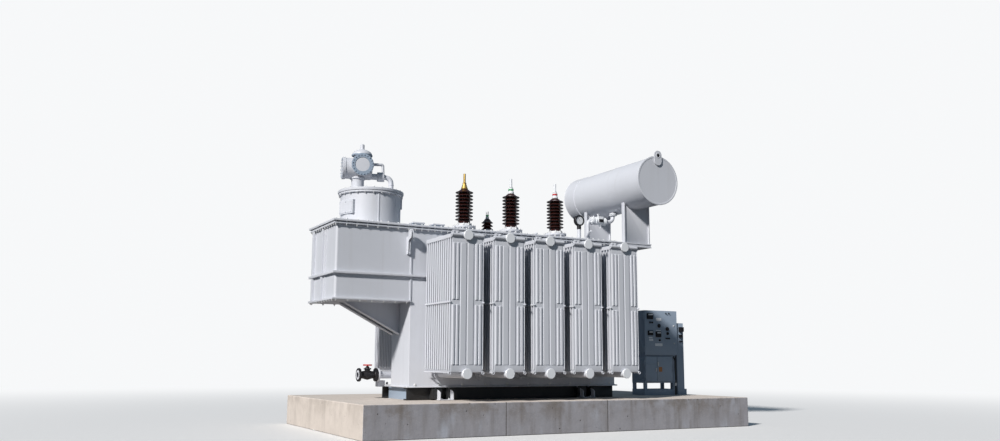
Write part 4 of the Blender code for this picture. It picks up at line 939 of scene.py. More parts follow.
class TRANSFORMER_OT_radiators(Dress):
    """Builds the ten radiators from pressed panels, header pipes and tie strips"""
    bl_idname = "transformer.radiators"
    bl_label = "Radiators"

    panel_half = 0.26
    panel_height = 1.895
    foot = 0.8706
    pitch = 0.0725
    first = 0.09
    corner = 0.030
    rim = 0.0025
    seam = 0.005
    slope, right_slope = 0.033, 0.027
    swell = 0.009
    channel_ends = (0.098, 0.110)
    mid_band = (0.925, 0.990)
    wide_channels = ((0.156, 0.252), (0.268, 0.364))
    narrow_channels = ((0.036, 0.078), (0.094, 0.136), (0.388, 0.430), (0.446, 0.488))
    header_levels = (1.897, -0.023)
    cap_radius = 0.076
    cap_reach = 0.060

    def make(self, looks, size):
        finish = [looks["transformer paint"], looks["white enamel"]]
        shape = self.radiator(size)
        tip = self.last_panel(size) + self.cap_reach
        edge = self.cap_radius
        cap = round_shape([(0, -0.024), (edge - 0.002, -0.024), (edge, -0.020), (edge, -0.006),
                           (edge - 0.006, 0), (0, 0)], 10)
        for number in range(1, 6):
            for row, wall, turn in (("front", TANK_FRONT, 0.0), ("rear", TANK_REAR, math.pi)):
                node = f"radiator_{row}_{number}"
                foot = Vector((middle_of(node).x, wall, self.foot))
                place = Matrix.Translation(foot) @ Matrix.Rotation(turn, 4, "Z")
                piece = Piece(node + "_dressed")
                piece.add(shape, place)
                for z in self.header_levels:
                    # The caps take the paler white enamel: a painted sheen that makes them stand out brighter
                    # than the panels.
                    piece.add(cap, place @ at((0, -tip, z), (0, -1, 0)), 1)
                piece.done(finish, replaced=[node])

    def last_panel(self, size):
        """How far the outermost panel stands from the wall."""
        return self.first + (size.panels - 1) * self.pitch

    def panel(self, size):
        """Two pressed sheets welded together round their rim, in the XZ plane."""
        half, height = self.panel_half, self.panel_height
        seam, slope = self.seam, self.slope
        right = 2 * half - self.right_slope
        columns = {x for pair in self.wide_channels + self.narrow_channels for x in pair}
        columns = sorted(columns | {0.0, seam, slope, right, 2 * half - seam, 2 * half})
        low, high = self.channel_ends[0], height - self.channel_ends[1]
        levels = [0.0, seam, slope, low, *self.mid_band, high, height - slope, height - seam, height]
        bm = bmesh.new()
        row = [bm.verts.new((x - half, 0, 0)) for x in columns]
        edges = [bm.edges.new(pair) for pair in zip(row, row[1:])]
        for below, above in zip(levels, levels[1:]):
            grown = bmesh.ops.extrude_edge_only(bm, edges=edges)["geom"]
            bmesh.ops.translate(bm, vec=(0, 0, above - below),
                                verts=[item for item in grown if isinstance(item, bmesh.types.BMVert)])
            edges = [edge for edge in grown if isinstance(edge, bmesh.types.BMEdge)]
        near = 0.001
        for vert in bm.verts:
            across = slope - near < vert.co.x + half < right + near
            if across and slope - near < vert.co.z < height - slope + near:
                vert.co.y -= self.swell
        for side in (-1, 1):
            for end, up in ((0.0, -1), (height, 1)):
                for lean in (0.35, 1.0, 2.6):
                    normal = Vector((side * lean, 0, up)).normalized()
                    corner = Vector((side * half, 0, end))
                    cut = self.corner * (abs(normal.x) + abs(normal.z) - 1)
                    bmesh.ops.bisect_plane(bm, geom=bm.verts[:] + bm.edges[:] + bm.faces[:], dist=0.0001,
                                           plane_co=corner - normal * cut, plane_no=normal, clear_outer=True)
        bmesh.ops.translate(bm, vec=(0, -self.rim, 0), verts=bm.verts)
        for left, right in self.wide_channels:
            self.raise_channel(bm, left - half, right - half, low, high, size.channel * 0.6)
        for left, right in self.narrow_channels:
            self.raise_channel(bm, left - half, right - half, low, self.mid_band[0], size.channel)
            self.raise_channel(bm, left - half, right - half, self.mid_band[1], high, size.channel)
        bmesh.ops.recalc_face_normals(bm, faces=bm.faces)
        bmesh.ops.mirror(bm, geom=bm.verts[:] + bm.edges[:] + bm.faces[:], axis="Y", merge_dist=0.0)
        border = [edge for edge in bm.edges if edge.is_boundary]
        bmesh.ops.bridge_loops(bm, edges=border)
        bmesh.ops.recalc_face_normals(bm, faces=bm.faces)
        return shape_from(bm)

    def raise_channel(self, bm, left, right, low, high, rise):
        """Presses one channel out of the sheet, its ends and sides sloped."""
        faces = [f for f in bm.faces if left < f.calc_center_median().x < right
                 and low < f.calc_center_median().z < high and abs(f.normal.y) > 0.99]
        for slope, share in ((0.002, 0.30), (0.003, 0.52), (0.003, 0.18)):
            bmesh.ops.inset_region(bm, faces=faces, thickness=slope, depth=0.0, use_even_offset=True)
            lift = (0, -rise * share, 0)
            bmesh.ops.translate(bm, vec=lift, verts=list({v for f in faces for v in f.verts}))

    def radiator(self, size):
        """One radiator on the -Y side of a wall at y = 0, its panels' feet at z = 0."""
        piece = Piece("radiator")
        panel = self.panel(size)
        half, height = self.panel_half, self.panel_height
        end = self.corner + 0.002
        beads = [block_shape((x - 0.006, -0.012, end), (x + 0.006, 0.012, height - end), 0.004)
                 for x in (self.seam - half, half - self.seam)]
        for number in range(size.panels):
            for shape in [panel] + beads:
                piece.add(shape, Matrix.Translation((0, -self.first - number * self.pitch, 0)))
        last = self.last_panel(size)
        for z in self.header_levels:
            self.header(piece, z, last, size)
        self.strips(piece, -last - 0.016, size)
        return shape_from(piece.bm)

    def strips(self, piece, front, size):
        """The strips along the panels' corners, the front bars, ring ears and the lifting lug."""
        half, height = self.panel_half, self.panel_height
        middle = sum(self.mid_band) / 2
        levels = ((height - 0.018, 0.056, 0.006), (middle, 0.024, 0.012), (-0.002, 0.018, 0.008))
        ring = pipe_shape(list(circle_points(0.017, 20)), 0.006, 2, closed=True)
        nut = nut_shape(size.bolt * 0.7)
        for side in (-1, 1):
            edge = side * half
            inner = edge - side * 0.006
            for z, tall, proud in levels:
                near, far = sorted((edge - side * 0.018, edge + side * proud))
                piece.block((near, front - 0.004, z - tall / 2),
                            (far, 0.02 - self.first, z + tall / 2), 0.005, 2)
            piece.add(nut, at((edge, front - 0.004, middle), (0, -1, 0)))
            piece.add(ring, at((inner, front - 0.006, -0.014), (0, -1, 0)))
            for step in (0.05, 0.11, 0.17):
                piece.add(nut, at((inner, front + step, -0.010), (0, 0, -1)))
        bar = [(side * (half - 0.014), front - 0.002, height + 0.002) for side in (-1, 1)]
        piece.add(pipe_shape(bar, 0.028, 5))
        left, wide = 0.004 - half, 0.136
        lug = [(left, height), (left + wide, height), (left + wide, height + 0.030),
               (left + wide - 0.020, height + 0.056), (left + 0.020, height + 0.062),
               (left, height + 0.044)]
        piece.add(plate_shape(lug, 0.012, "XZ", front - 0.014, 0.003, 2))
        bolt = bolt_shape(size.bolt * 0.8)
        for step in (0.035, 0.095):
            piece.add(bolt, at((left + step, front - 0.014, height + 0.040), (0, -1, 0)))

    def header(self, piece, z, last, size):
        """The header pipe, which its flat-sided cap closes, with its bolted wall flanges."""
        wall, outward = (0, 0, z), (0, -1, 0)
        end = last + self.cap_reach - 0.010
        radius, flange, thick = 0.062, 0.1, 0.017
        piece.round([(0, 0.0003), (radius, 0.0003), (radius, end), (0, end)], wall, outward, 40)
        bolt = bolt_shape(size.bolt * 0.8)
        for start, seat, way in ((0.028, 0.028, 1), (0.048, 0.065, -1)):
            piece.round([(radius, start), (flange, start), (flange, start + thick), (radius, start + thick)],
                        wall, outward, 40)
            piece.ring_of(bolt, 8, 0.083, (0, -seat, z), (0, way, 0), 0.39)


class TRANSFORMER_OT_turret(Dress):
    """Dresses the round turret with its bolted double flange, seam and box plate"""
    bl_idname = "transformer.turret"
    bl_label = "Turret"

    def make(self, looks, size):
        paint = looks["transformer paint"]
        low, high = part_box("turret_body")
        foot = foot_of("turret_body")
        radius = (high.x - low.x) / 2
        flange_low, flange_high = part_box("turret_cover")
        flange = (flange_high.x - flange_low.x) / 2
        height = high.z - low.z
        body = Piece("turret_dressed")
        body.round([(0, 0), (flange - 0.005, 0), (flange, 0.003), (flange, 0.017),
                    (flange - 0.004, 0.021), (radius + 0.008, 0.021), (radius + 0.004, 0.025),
                    (radius, 0.032), (radius, height - 0.034), (radius + 0.004, height - 0.028),
                    (flange - 0.014, height - 0.026), (flange - 0.010, height - 0.022),
                    (flange - 0.010, height - 0.004), (flange - 0.014, height), (0, height)],
                   foot, steps=128)
        for degrees, half, reach, start in ((-94.75, 0.009, 0.006, 0.025), (-22, 0.012, 0.020, 0.28)):
            angle = math.radians(degrees)
            place = Vector((math.cos(angle), math.sin(angle), 0)) * (radius + 0.002) + foot
            matrix = Matrix.Translation(place) @ Matrix.Rotation(angle, 4, "Z")
            rod = block_shape((-0.004, -half, start), (reach, half, height - 0.03), 0.003, 2)
            body.add(rod, matrix)
        body.done(paint, replaced=["turret_body"])

        top = flange_high.z - flange_low.z
        cover = Piece("turret_cover_dressed")
        cover.round([(0, 0.004), (flange - 0.006, 0.004), (flange - 0.002, 0.006), (flange, 0.010),
                     (flange, top - 0.006), (flange - 0.006, top), (0, top)],
                    (foot.x, foot.y, flange_low.z), steps=128)
        cover.done(paint, replaced=["turret_cover"])

        bolts = Piece("turret_bolts")
        head, nut = bolt_shape(size.bolt * 0.8), nut_shape(size.bolt * 0.7, 0.8)
        ring = (radius + flange) / 2
        for shape, z, way in ((head, flange_high.z, 1), (nut, high.z - 0.026, -1), (nut, low.z + 0.021, 1)):
            bolts.ring_of(shape, 24, ring, (foot.x, foot.y, z), (0, 0, way))
        bolts.done(looks["zinc"])
        self.box_plate(foot, radius, paint)

    def box_plate(self, foot, radius, paint):
        """A flat bolted box on the turret's side."""
        half, tall, level = 0.155, 0.104, 3.251
        turn = math.radians(-160)
        place = Vector((foot.x, foot.y, level)) + Vector((math.cos(turn), math.sin(turn), 0)) * radius
        matrix = Matrix.Translation(place) @ Matrix.Rotation(turn, 4, "Z")
        inset = 0.016
        box = Piece("turret_box_plate")
        box.add(block_shape((-0.05, -half, -tall), (0.018, half, tall), 0.006, 3), matrix)
        low, high = (0.016, inset - half, inset - tall), (0.023, half - inset, tall - inset)
        box.add(block_shape(low, high, 0.003, 2), matrix)
        for y in (0.03 - half, 0, half - 0.03):
            for z in (0.03 - tall, tall - 0.03):
                box.add(bolt_shape(0.008), matrix @ at((0.023, y, z), (1, 0, 0)))
        box.done(paint)


class TRANSFORMER_OT_drive_head(Dress):
    """Builds the flanged drive head with its round cover, rain cap and pipe"""
    bl_idname = "transformer.drive_head"
    bl_label = "Drive head"

    turn = math.radians(-12.7)
    housing = 0.158
    pedestal = 0.184
    from_turret = 0.215
    branch_place = (0.045, 0, 0.03)
    cap_place = (0.055, 0, 0)
    nozzle_drop = 0.106
    joint = 0.345
    elbow = 0.505
    vent = ((-2.66, -0.36, 3.955), (-2.46, -0.36, 3.972), (-2.452, -0.36, 3.83))

    def make(self, looks, size):
        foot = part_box("drive_head")[0].z
        axis_z = foot + self.pedestal + self.housing
        pivot = Vector((middle_of("turret_cover").x - self.from_turret, MIDDLE_Y, axis_z))
        turn = Matrix.Translation(pivot) @ Matrix.Rotation(self.turn, 4, "Z")
        pedestal = turn @ at((0, 0, foot - axis_z))
        end = turn @ at((0, 0, 0), (-1, 0, 0))
        branch = turn @ at(self.branch_place, (0, -1, 0))
        cap = turn @ at(self.cap_place)
        nozzle = turn @ at((0, 0, -self.nozzle_drop), (1, 0, 0))
        r = self.housing
        dome = [(0.152 * math.cos(math.radians(a)), 0.21 + 0.09 * math.sin(math.radians(a)))
                for a in range(0, 71, 7)]
        forms = (
            (end, 64, 0, [(0, -0.20), (r - 0.012, -0.20), (r, -0.188), (r, 0.19), (r + 0.008, 0.193),
                          (r + 0.010, 0.197), (r + 0.010, 0.212), (r + 0.007, 0.214), (r + 0.007, 0.217),
                          (r + 0.010, 0.219), (r + 0.010, 0.236), (r + 0.004, 0.240), (r - 0.03, 0.240),
                          (r - 0.035, 0.236), (0, 0.236)]),
            (pedestal, 48, 0, [(0, 0), (0.125, 0), (0.128, 0.003), (0.128, 0.020), (0.124, 0.023),
                               (0.100, 0.023), (0.094, 0.028), (0.094, 0.16), (0.102, 0.175),
                               (0.118, 0.182), (0.118, 0.200), (0.09, 0.22), (0, 0.22)]),
            (branch, 64, 0, [(0, 0.06), (0.13, 0.06), (0.13, 0.155), (0.140, 0.165), (0.160, 0.168),
                             (0.167, 0.172), (0.167, 0.187), (0.164, 0.189), (0.164, 0.192),
                             (0.167, 0.194), (0.167, 0.203), (0.160, 0.209), (0.118, 0.209),
                             (0.112, 0.203), (0.108, 0.203), (0.104, 0.207), (0, 0.210)]),
            (cap, 64, 0, [(0, 0.06), (0.11, 0.06), (0.11, 0.17), (0.104, 0.215), (0.138, 0.215),
                          (0.150, 0.202), (0.153, 0.205), *dome, (0.04, 0.298), (0.036, 0.304),
                          (0.033, 0.312), (0.033, 0.365), (0.030, 0.378), (0.018, 0.385), (0, 0.385)]),
            (nozzle, 40, 0, [(0, 0.06), (0.046, 0.06), (0.046, 0.290), (0.052, 0.296), (0.070, 0.299),
                             (0.072, 0.303), (0.072, 0.3445), (0, 0.3445)]),
            (branch, 64, 1, [(0.107, 0.206), (0.164, 0.206), (0.166, 0.211), (0.160, 0.213),
                             (0.111, 0.213), (0.107, 0.206)]),
            # The band of cabinet paint round the rain cap's rim is painted shade under the rim.
            (cap, 64, 1, [(0.140, 0.197), (0.155, 0.197), (0.157, 0.200), (0.157, 0.213),
                          (0.155, 0.216), (0.140, 0.216), (0.140, 0.197)]),
        )
        head = Piece("drive_head_dressed")
        for place, steps, finish, profile in forms:
            head.add(round_shape(profile, steps), place, finish)
        route = [self.vent[0]] + bend(*self.vent, 0.03, 6) + [self.vent[2]]
        head.add(pipe_shape(route, 0.022, 4))
        head.done([looks["transformer paint"], looks["cabinet paint"]], replaced=["drive_head"])
        self.bolts(looks, branch, end, pedestal, nozzle, size)
        self.pipe(looks, turn, foot)

    def bolts(self, looks, branch, end, pedestal, nozzle, size):
        bolts = Piece("drive_head_bolts")
        small, tiny = bolt_shape(size.bolt * 0.65), bolt_shape(size.bolt * 0.5)
        rings = (
            (branch, small, 20, 0.17, 0.146, 0.212, 1, 1), (end, tiny, 16, 0.0, 0.142, 0.240, 1, 1),
            (pedestal, small, 8, 0.0, 0.111, 0.023, 1, 0), (nozzle, small, 6, 0.0, 0.060, 0.299, -1, 0),
            (nozzle, small, 6, 0.0, 0.060, 0.390, 1, 0),
        )
        for place, shape, count, first, radius, height, way, finish in rings:
            for point in circle_points(radius, count, first):
                bolts.add(shape, place @ at(point + Vector((0, 0, height)), (0, 0, way)), finish)
        bolts.done([looks["zinc"], looks["cabinet paint"]])

    def pipe(self, looks, turn, foot):
        """The elbow from the head down to the turret's cover, with a weld collar below its bend."""
        start = turn @ Vector((self.joint, 0, -self.nozzle_drop))
        corner = turn @ Vector((self.elbow, 0, -self.nozzle_drop))
        end = Vector((corner.x, corner.y, foot))
        pipe = Piece("head_pipe_dressed")
        pipe.add(pipe_shape([start] + bend(start, corner, end, 0.111, 12) + [end], 0.037, 8))
        collar = corner - Vector((0, 0, 0.125))
        pipe.round([(0.036, 0), (0.041, 0.002), (0.041, 0.008), (0.036, 0.010), (0.036, 0)], collar, steps=32)
        flange = round_shape([(0, 0), (0.072, 0), (0.072, 0.040), (0.068, 0.045), (0.046, 0.046),
                              (0.040, 0.056), (0, 0.056)], 40)
        pipe.add(flange, turn @ at((self.joint + 0.0005, 0, -self.nozzle_drop), (1, 0, 0)))
        pipe.round([(0, 0), (0.075, 0), (0.075, 0.016), (0.050, 0.019), (0.044, 0.030), (0, 0.030)],
                   end, steps=40)
        pipe.done(looks["transformer paint"], replaced=["head_pipe"])


class TRANSFORMER_OT_bushings(Dress):
    """Builds the high-voltage bushings and the neutral bushing on their turrets"""
    bl_idname = "transformer.bushings"
    bl_label = "Bushings"

    rings = ("brass", "green paint", "red paint")
    shed_foot = 0.105
    shed_count = 9
    shed_pitch = 0.0545
    shed_radius = 0.142
    core_radius = 0.080
    glaze_top = 0.574
    neutral_foot = 0.15
    neutral_count = 3
    neutral_pitch = 0.055
    neutral_radius = 0.095
    neutral_core = 0.055

    def make(self, looks, size):
        for number, ring in enumerate(self.rings, 1):
            self.turret(looks, size, number)
            self.bushing(looks, size, number, ring)
        self.neutral(looks, size)

    def sheds(self, foot, count, pitch, radius, core, size):
        """The outline of thin sloping sheds, from the lowest up."""
        points = []
        for number in range(count):
            level = foot + number * pitch
            lip = level + size.shed_lip
            points += [(core, level + 0.012), (core + 0.004, level + 0.008), (radius - 0.012, level + 0.003),
                       (radius - 0.003, level), (radius, level + size.shed_lip * 0.4),
                       (radius - 0.002, lip), (radius - 0.012, lip + 0.005),
                       (core + 0.016, level + pitch * 0.50), (core + 0.003, level + pitch * 0.66),
                       (core, level + pitch * 0.80)]
        return points

    def turret(self, looks, size, number):
        node = f"bushing_turret_{number}"
        low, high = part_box(node)
        foot = foot_of(node)
        height = high.z - low.z
        flange = (high.x - low.x) / 2
        wall = 0.155
        piece = Piece(node + "_dressed")
        piece.round([(0, 0), (wall, 0), (wall, height - 0.036), (wall + 0.005, height - 0.031),
                     (flange - 0.003, height - 0.030), (flange, height - 0.027),
                     (flange, height - 0.003), (flange - 0.003, height), (0, height)], foot)
        piece.round([(wall, 0.0), (wall + 0.013, 0.0), (wall, 0.012)], foot)
        bolt, nut = bolt_shape(size.bolt), nut_shape(size.bolt)
        for shape, rise, way in ((bolt, height, 1), (nut, height - 0.030, -1)):
            piece.ring_of(shape, 12, 0.170, foot + Vector((0, 0, rise)), (0, 0, way), finish=1)
        piece.done([looks["transformer paint"], looks["zinc"]], replaced=[node])

    def bushing(self, looks, size, number, ring):
        node = f"hv_bushing_{number}"
        foot = foot_of(node)
        piece = Piece(node + "_dressed")
        top = self.glaze_top
        profile = [(0, 0.030), (0.096, 0.030), (0.096, 0.085), (0.090, 0.095)]
        profile += self.sheds(self.shed_foot, self.shed_count, self.shed_pitch, self.shed_radius,
                              self.core_radius, size)
        profile += [(0.074, top + 0.012), (0.066, top + 0.018), (0.050, top + 0.034), (0, top + 0.034)]
        piece.round(profile, foot, steps=56)
        clamp = [(0, 0), (0.120, 0), (0.122, 0.003), (0.122, 0.020), (0.110, 0.030), (0.102, 0.042),
                 (0.094, 0.044)]
        piece.round(clamp, foot, steps=56, finish=1)
        nut = nut_shape(size.bolt * 0.9, 1.2)
        piece.ring_of(nut, 8, 0.110, foot + Vector((0, 0, 0.024)), first=0.3, finish=2)
        seat = foot + Vector((0, 0, top + 0.030))
        if ring == "brass":
            piece.round([(0, 0), (0.056, 0), (0.058, 0.006), (0.052, 0.014), (0.034, 0.070), (0.027, 0.086),
                         (0.027, 0.100), (0.020, 0.108), (0.019, 0.250), (0, 0.252)],
                        seat, steps=32, finish=3)
            piece.round([(0, 0.086), (0.034, 0.086), (0.034, 0.104), (0, 0.104)], seat, steps=6, finish=3)
        else:
            piece.round([(0, 0), (0.048, 0), (0.050, 0.004), (0.050, 0.030), (0.046, 0.036), (0.040, 0.040),
                         (0.040, 0.094), (0.034, 0.102), (0.021, 0.106), (0.020, 0.250), (0, 0.252)],
                        seat, steps=32, finish=1)
            piece.round([(0.040, 0.052), (0.044, 0.054), (0.044, 0.078), (0.040, 0.080)],
                        seat, steps=32, finish=3)
            piece.round([(0, 0.108), (0.034, 0.108), (0.034, 0.122), (0, 0.122)], seat, steps=6, finish=2)
        finish = [looks["brown glaze"], looks["white enamel"], looks["zinc"], looks[ring]]
        piece.done(finish, "porcelain", replaced=[node])

    def neutral(self, looks, size):
        foot = foot_of("neutral_bushing")
        piece = Piece("neutral_bushing_dressed")
        top = self.neutral_foot + self.neutral_count * self.neutral_pitch
        profile = [(0, 0.14), (0.062, 0.14)]
        profile += self.sheds(self.neutral_foot, self.neutral_count, self.neutral_pitch,
                              self.neutral_radius, self.neutral_core, size)
        profile += [(0.045, top + 0.006), (0.034, top + 0.016), (0, top + 0.016)]
        piece.round(profile, foot, steps=48)
        piece.round([(0, 0), (0.100, 0), (0.100, 0.018), (0.096, 0.022), (0.080, 0.024), (0.076, 0.030),
                     (0.076, 0.112), (0.082, 0.118), (0.096, 0.120), (0.098, 0.124), (0.098, 0.138),
                     (0.092, 0.144), (0, 0.144)], foot, steps=48, finish=1)
        for share, count, radius, rise in ((0.8, 8, 0.088, 0.022), (0.7, 6, 0.086, 0.144)):
            bolt = bolt_shape(size.bolt * share)
            piece.ring_of(bolt, count, radius, foot + Vector((0, 0, rise)), finish=2)
        seat = foot + Vector((0, 0, top))
        piece.round([(0, 0), (0.030, 0), (0.030, 0.040), (0.024, 0.044), (0.022, 0.050), (0.022, 0.138),
                     (0, 0.140)], seat, steps=28, finish=2)
        piece.round([(0.022, 0.058), (0.027, 0.060), (0.027, 0.078), (0.022, 0.080)],
                    seat, steps=28, finish=3)
        finish = [looks["brown glaze"], looks["transformer paint"], looks["zinc"], looks["green paint"]]
        piece.done(finish, "porcelain", replaced=["neutral_bushing"])


class TRANSFORMER_OT_cover_fittings(Dress):
    """Dresses the hatches and adds the small fittings on the cover"""
    bl_idname = "transformer.cover_fittings"
    bl_label = "Cover fittings"

    air_plugs = ((-1.36, -0.60), (0.10, -0.62), (1.10, -0.10), (-1.40, 0.05))

    def make(self, looks, size):
        finish = [looks["transformer paint"], looks["zinc"], looks["cabinet paint"]]
        for number in (1, 2):
            node = f"hatch_cover_{number}"
            low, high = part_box(node)
            piece = Piece(node + "_dressed")
            # The body under the top plate takes the darker cabinet paint: painted shade under the plate's
            # overhang.
            piece.block((low.x + 0.012, low.y + 0.012, low.z),
                        (high.x - 0.012, high.y - 0.012, high.z - 0.02), 0.004, 2, 2)
            piece.block((low.x, low.y, high.z - 0.026), (high.x, high.y, high.z - 0.006), 0.004, 2)
            for x in (low.x + 0.02, (low.x + high.x) / 2, high.x - 0.02):
                for y in (low.y + 0.02, high.y - 0.02):
                    piece.add(bolt_shape(0.008), at((x, y, high.z - 0.0065)), 1)
            piece.done(finish, replaced=[node])
        plug = round_shape([(0, 0), (0.040, 0), (0.040, 0.012), (0.022, 0.016), (0.018, 0.050),
                            (0.026, 0.054), (0.026, 0.072), (0.020, 0.078), (0, 0.078)], 24)
        extras = Piece("cover_fittings")
        for x, y in self.air_plugs:
            extras.add(plug, at((x, y, COVER_HIGH.z)))
        extras.done(looks["transformer paint"])


class TRANSFORMER_OT_conservator(Dress):
    """Builds the conservator with its ends, seams and lug, its saddles and its platform"""
    bl_idname = "transformer.conservator"
    bl_label = "Conservator"

    wall = 0.008
    sleeve = 0.28
    seam_share = 0.57

    def make(self, looks, size):
        paint = looks["transformer paint"]
        low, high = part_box("conservator_shell")
        centre = (low + high) / 2
        radius = (high.z - low.z) / 2
        deep = high.y - low.y
        inner = radius - self.wall
        seam = deep * self.seam_share
        profile = [(inner, 0), (radius + 0.010, 0), (radius + 0.010, self.sleeve),
                   (radius, self.sleeve + 0.003), (radius, seam - 0.008), (radius + 0.003, seam),
                   (radius, seam + 0.008), (radius, deep), (inner, deep), (inner, 0)]
        shell = Piece("conservator_shell_dressed")
        shell.round(profile, (centre.x, high.y, centre.z), (0, -1, 0), 128)
        turn = Matrix.Rotation(math.radians(35), 4, "Y")
        bead = block_shape((-0.006, low.y + 0.02, radius - 0.003),
                           (0.006, high.y - self.sleeve, radius + 0.003), 0.002)
        shell.add(bead, Matrix.Translation((centre.x, 0, centre.z)) @ turn)
        shell.done(paint, replaced=["conservator_shell"])

        rim = radius + 0.012
        disc = [(0, 0), (rim - 0.003, 0), (rim, 0.003), (rim, 0.013), (rim - 0.004, 0.016),
                (rim - 0.026, 0.016), (rim - 0.030, 0.012), (0, 0.010)]
        for end, y, outward in (("front", low.y, -1), ("rear", high.y, 1)):
            piece = Piece(f"conservator_end_{end}_dressed")
            piece.round(disc, (centre.x, y, centre.z), (0, outward, 0), 128)
            if end == "front":
                self.lug(piece, centre.x, y - 0.016, centre.z + radius)
            piece.done([paint, looks["black iron"]], replaced=[f"conservator_end_{end}"])
        self.saddles(paint, size)

    def lug(self, piece, x, y, shell_top):
        """The lifting lug on the front end: a rounded plate with a rimmed hole near its top, filled with a
        black disc as painted shade.
        """
        top = shell_top + 0.10
        radius, tall = 0.075, 0.25
        outline = []
        for first, centre in ((0.0, top - radius), (math.pi, top - tall + radius)):
            for step in range(13):
                angle = first + math.pi * step / 12
                outline.append((x + radius * math.cos(angle), centre + radius * math.sin(angle)))
        piece.add(plate_shape(outline, 0.020, "XZ", y - 0.020, 0.003, 2))
        hole = (x, y, top - 0.082)
        piece.round([(0.030, 0.018), (0.046, 0.018), (0.046, 0.023), (0.040, 0.026), (0.030, 0.024),
                     (0.030, 0.018)], hole, (0, -1, 0), 32)
        # A black iron disc fills the rim: painted shade standing for the hole through the lug.
        piece.round([(0, 0), (0.031, 0), (0.031, 0.0215), (0, 0.0215)], hole, (0, -1, 0), 24, 1)

    def saddles(self, paint, size):
        for node in ("conservator_saddle_front", "conservator_saddle_rear"):
            rounded_copy(node, paint, 0.003, 2)
        rounded_copy("conservator_platform", paint, size.edge, 2)
        low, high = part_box("conservator_platform")
        lip = Piece("platform_edge")
        for start, end in ((high.z - 0.018, high.z + 0.002), (high.z - 0.067, high.z - 0.051)):
            lip.block((low.x, low.y - 0.010, start), (high.x + 0.008, low.y + 0.004, end), 0.003, 2)
        lip.done(paint)


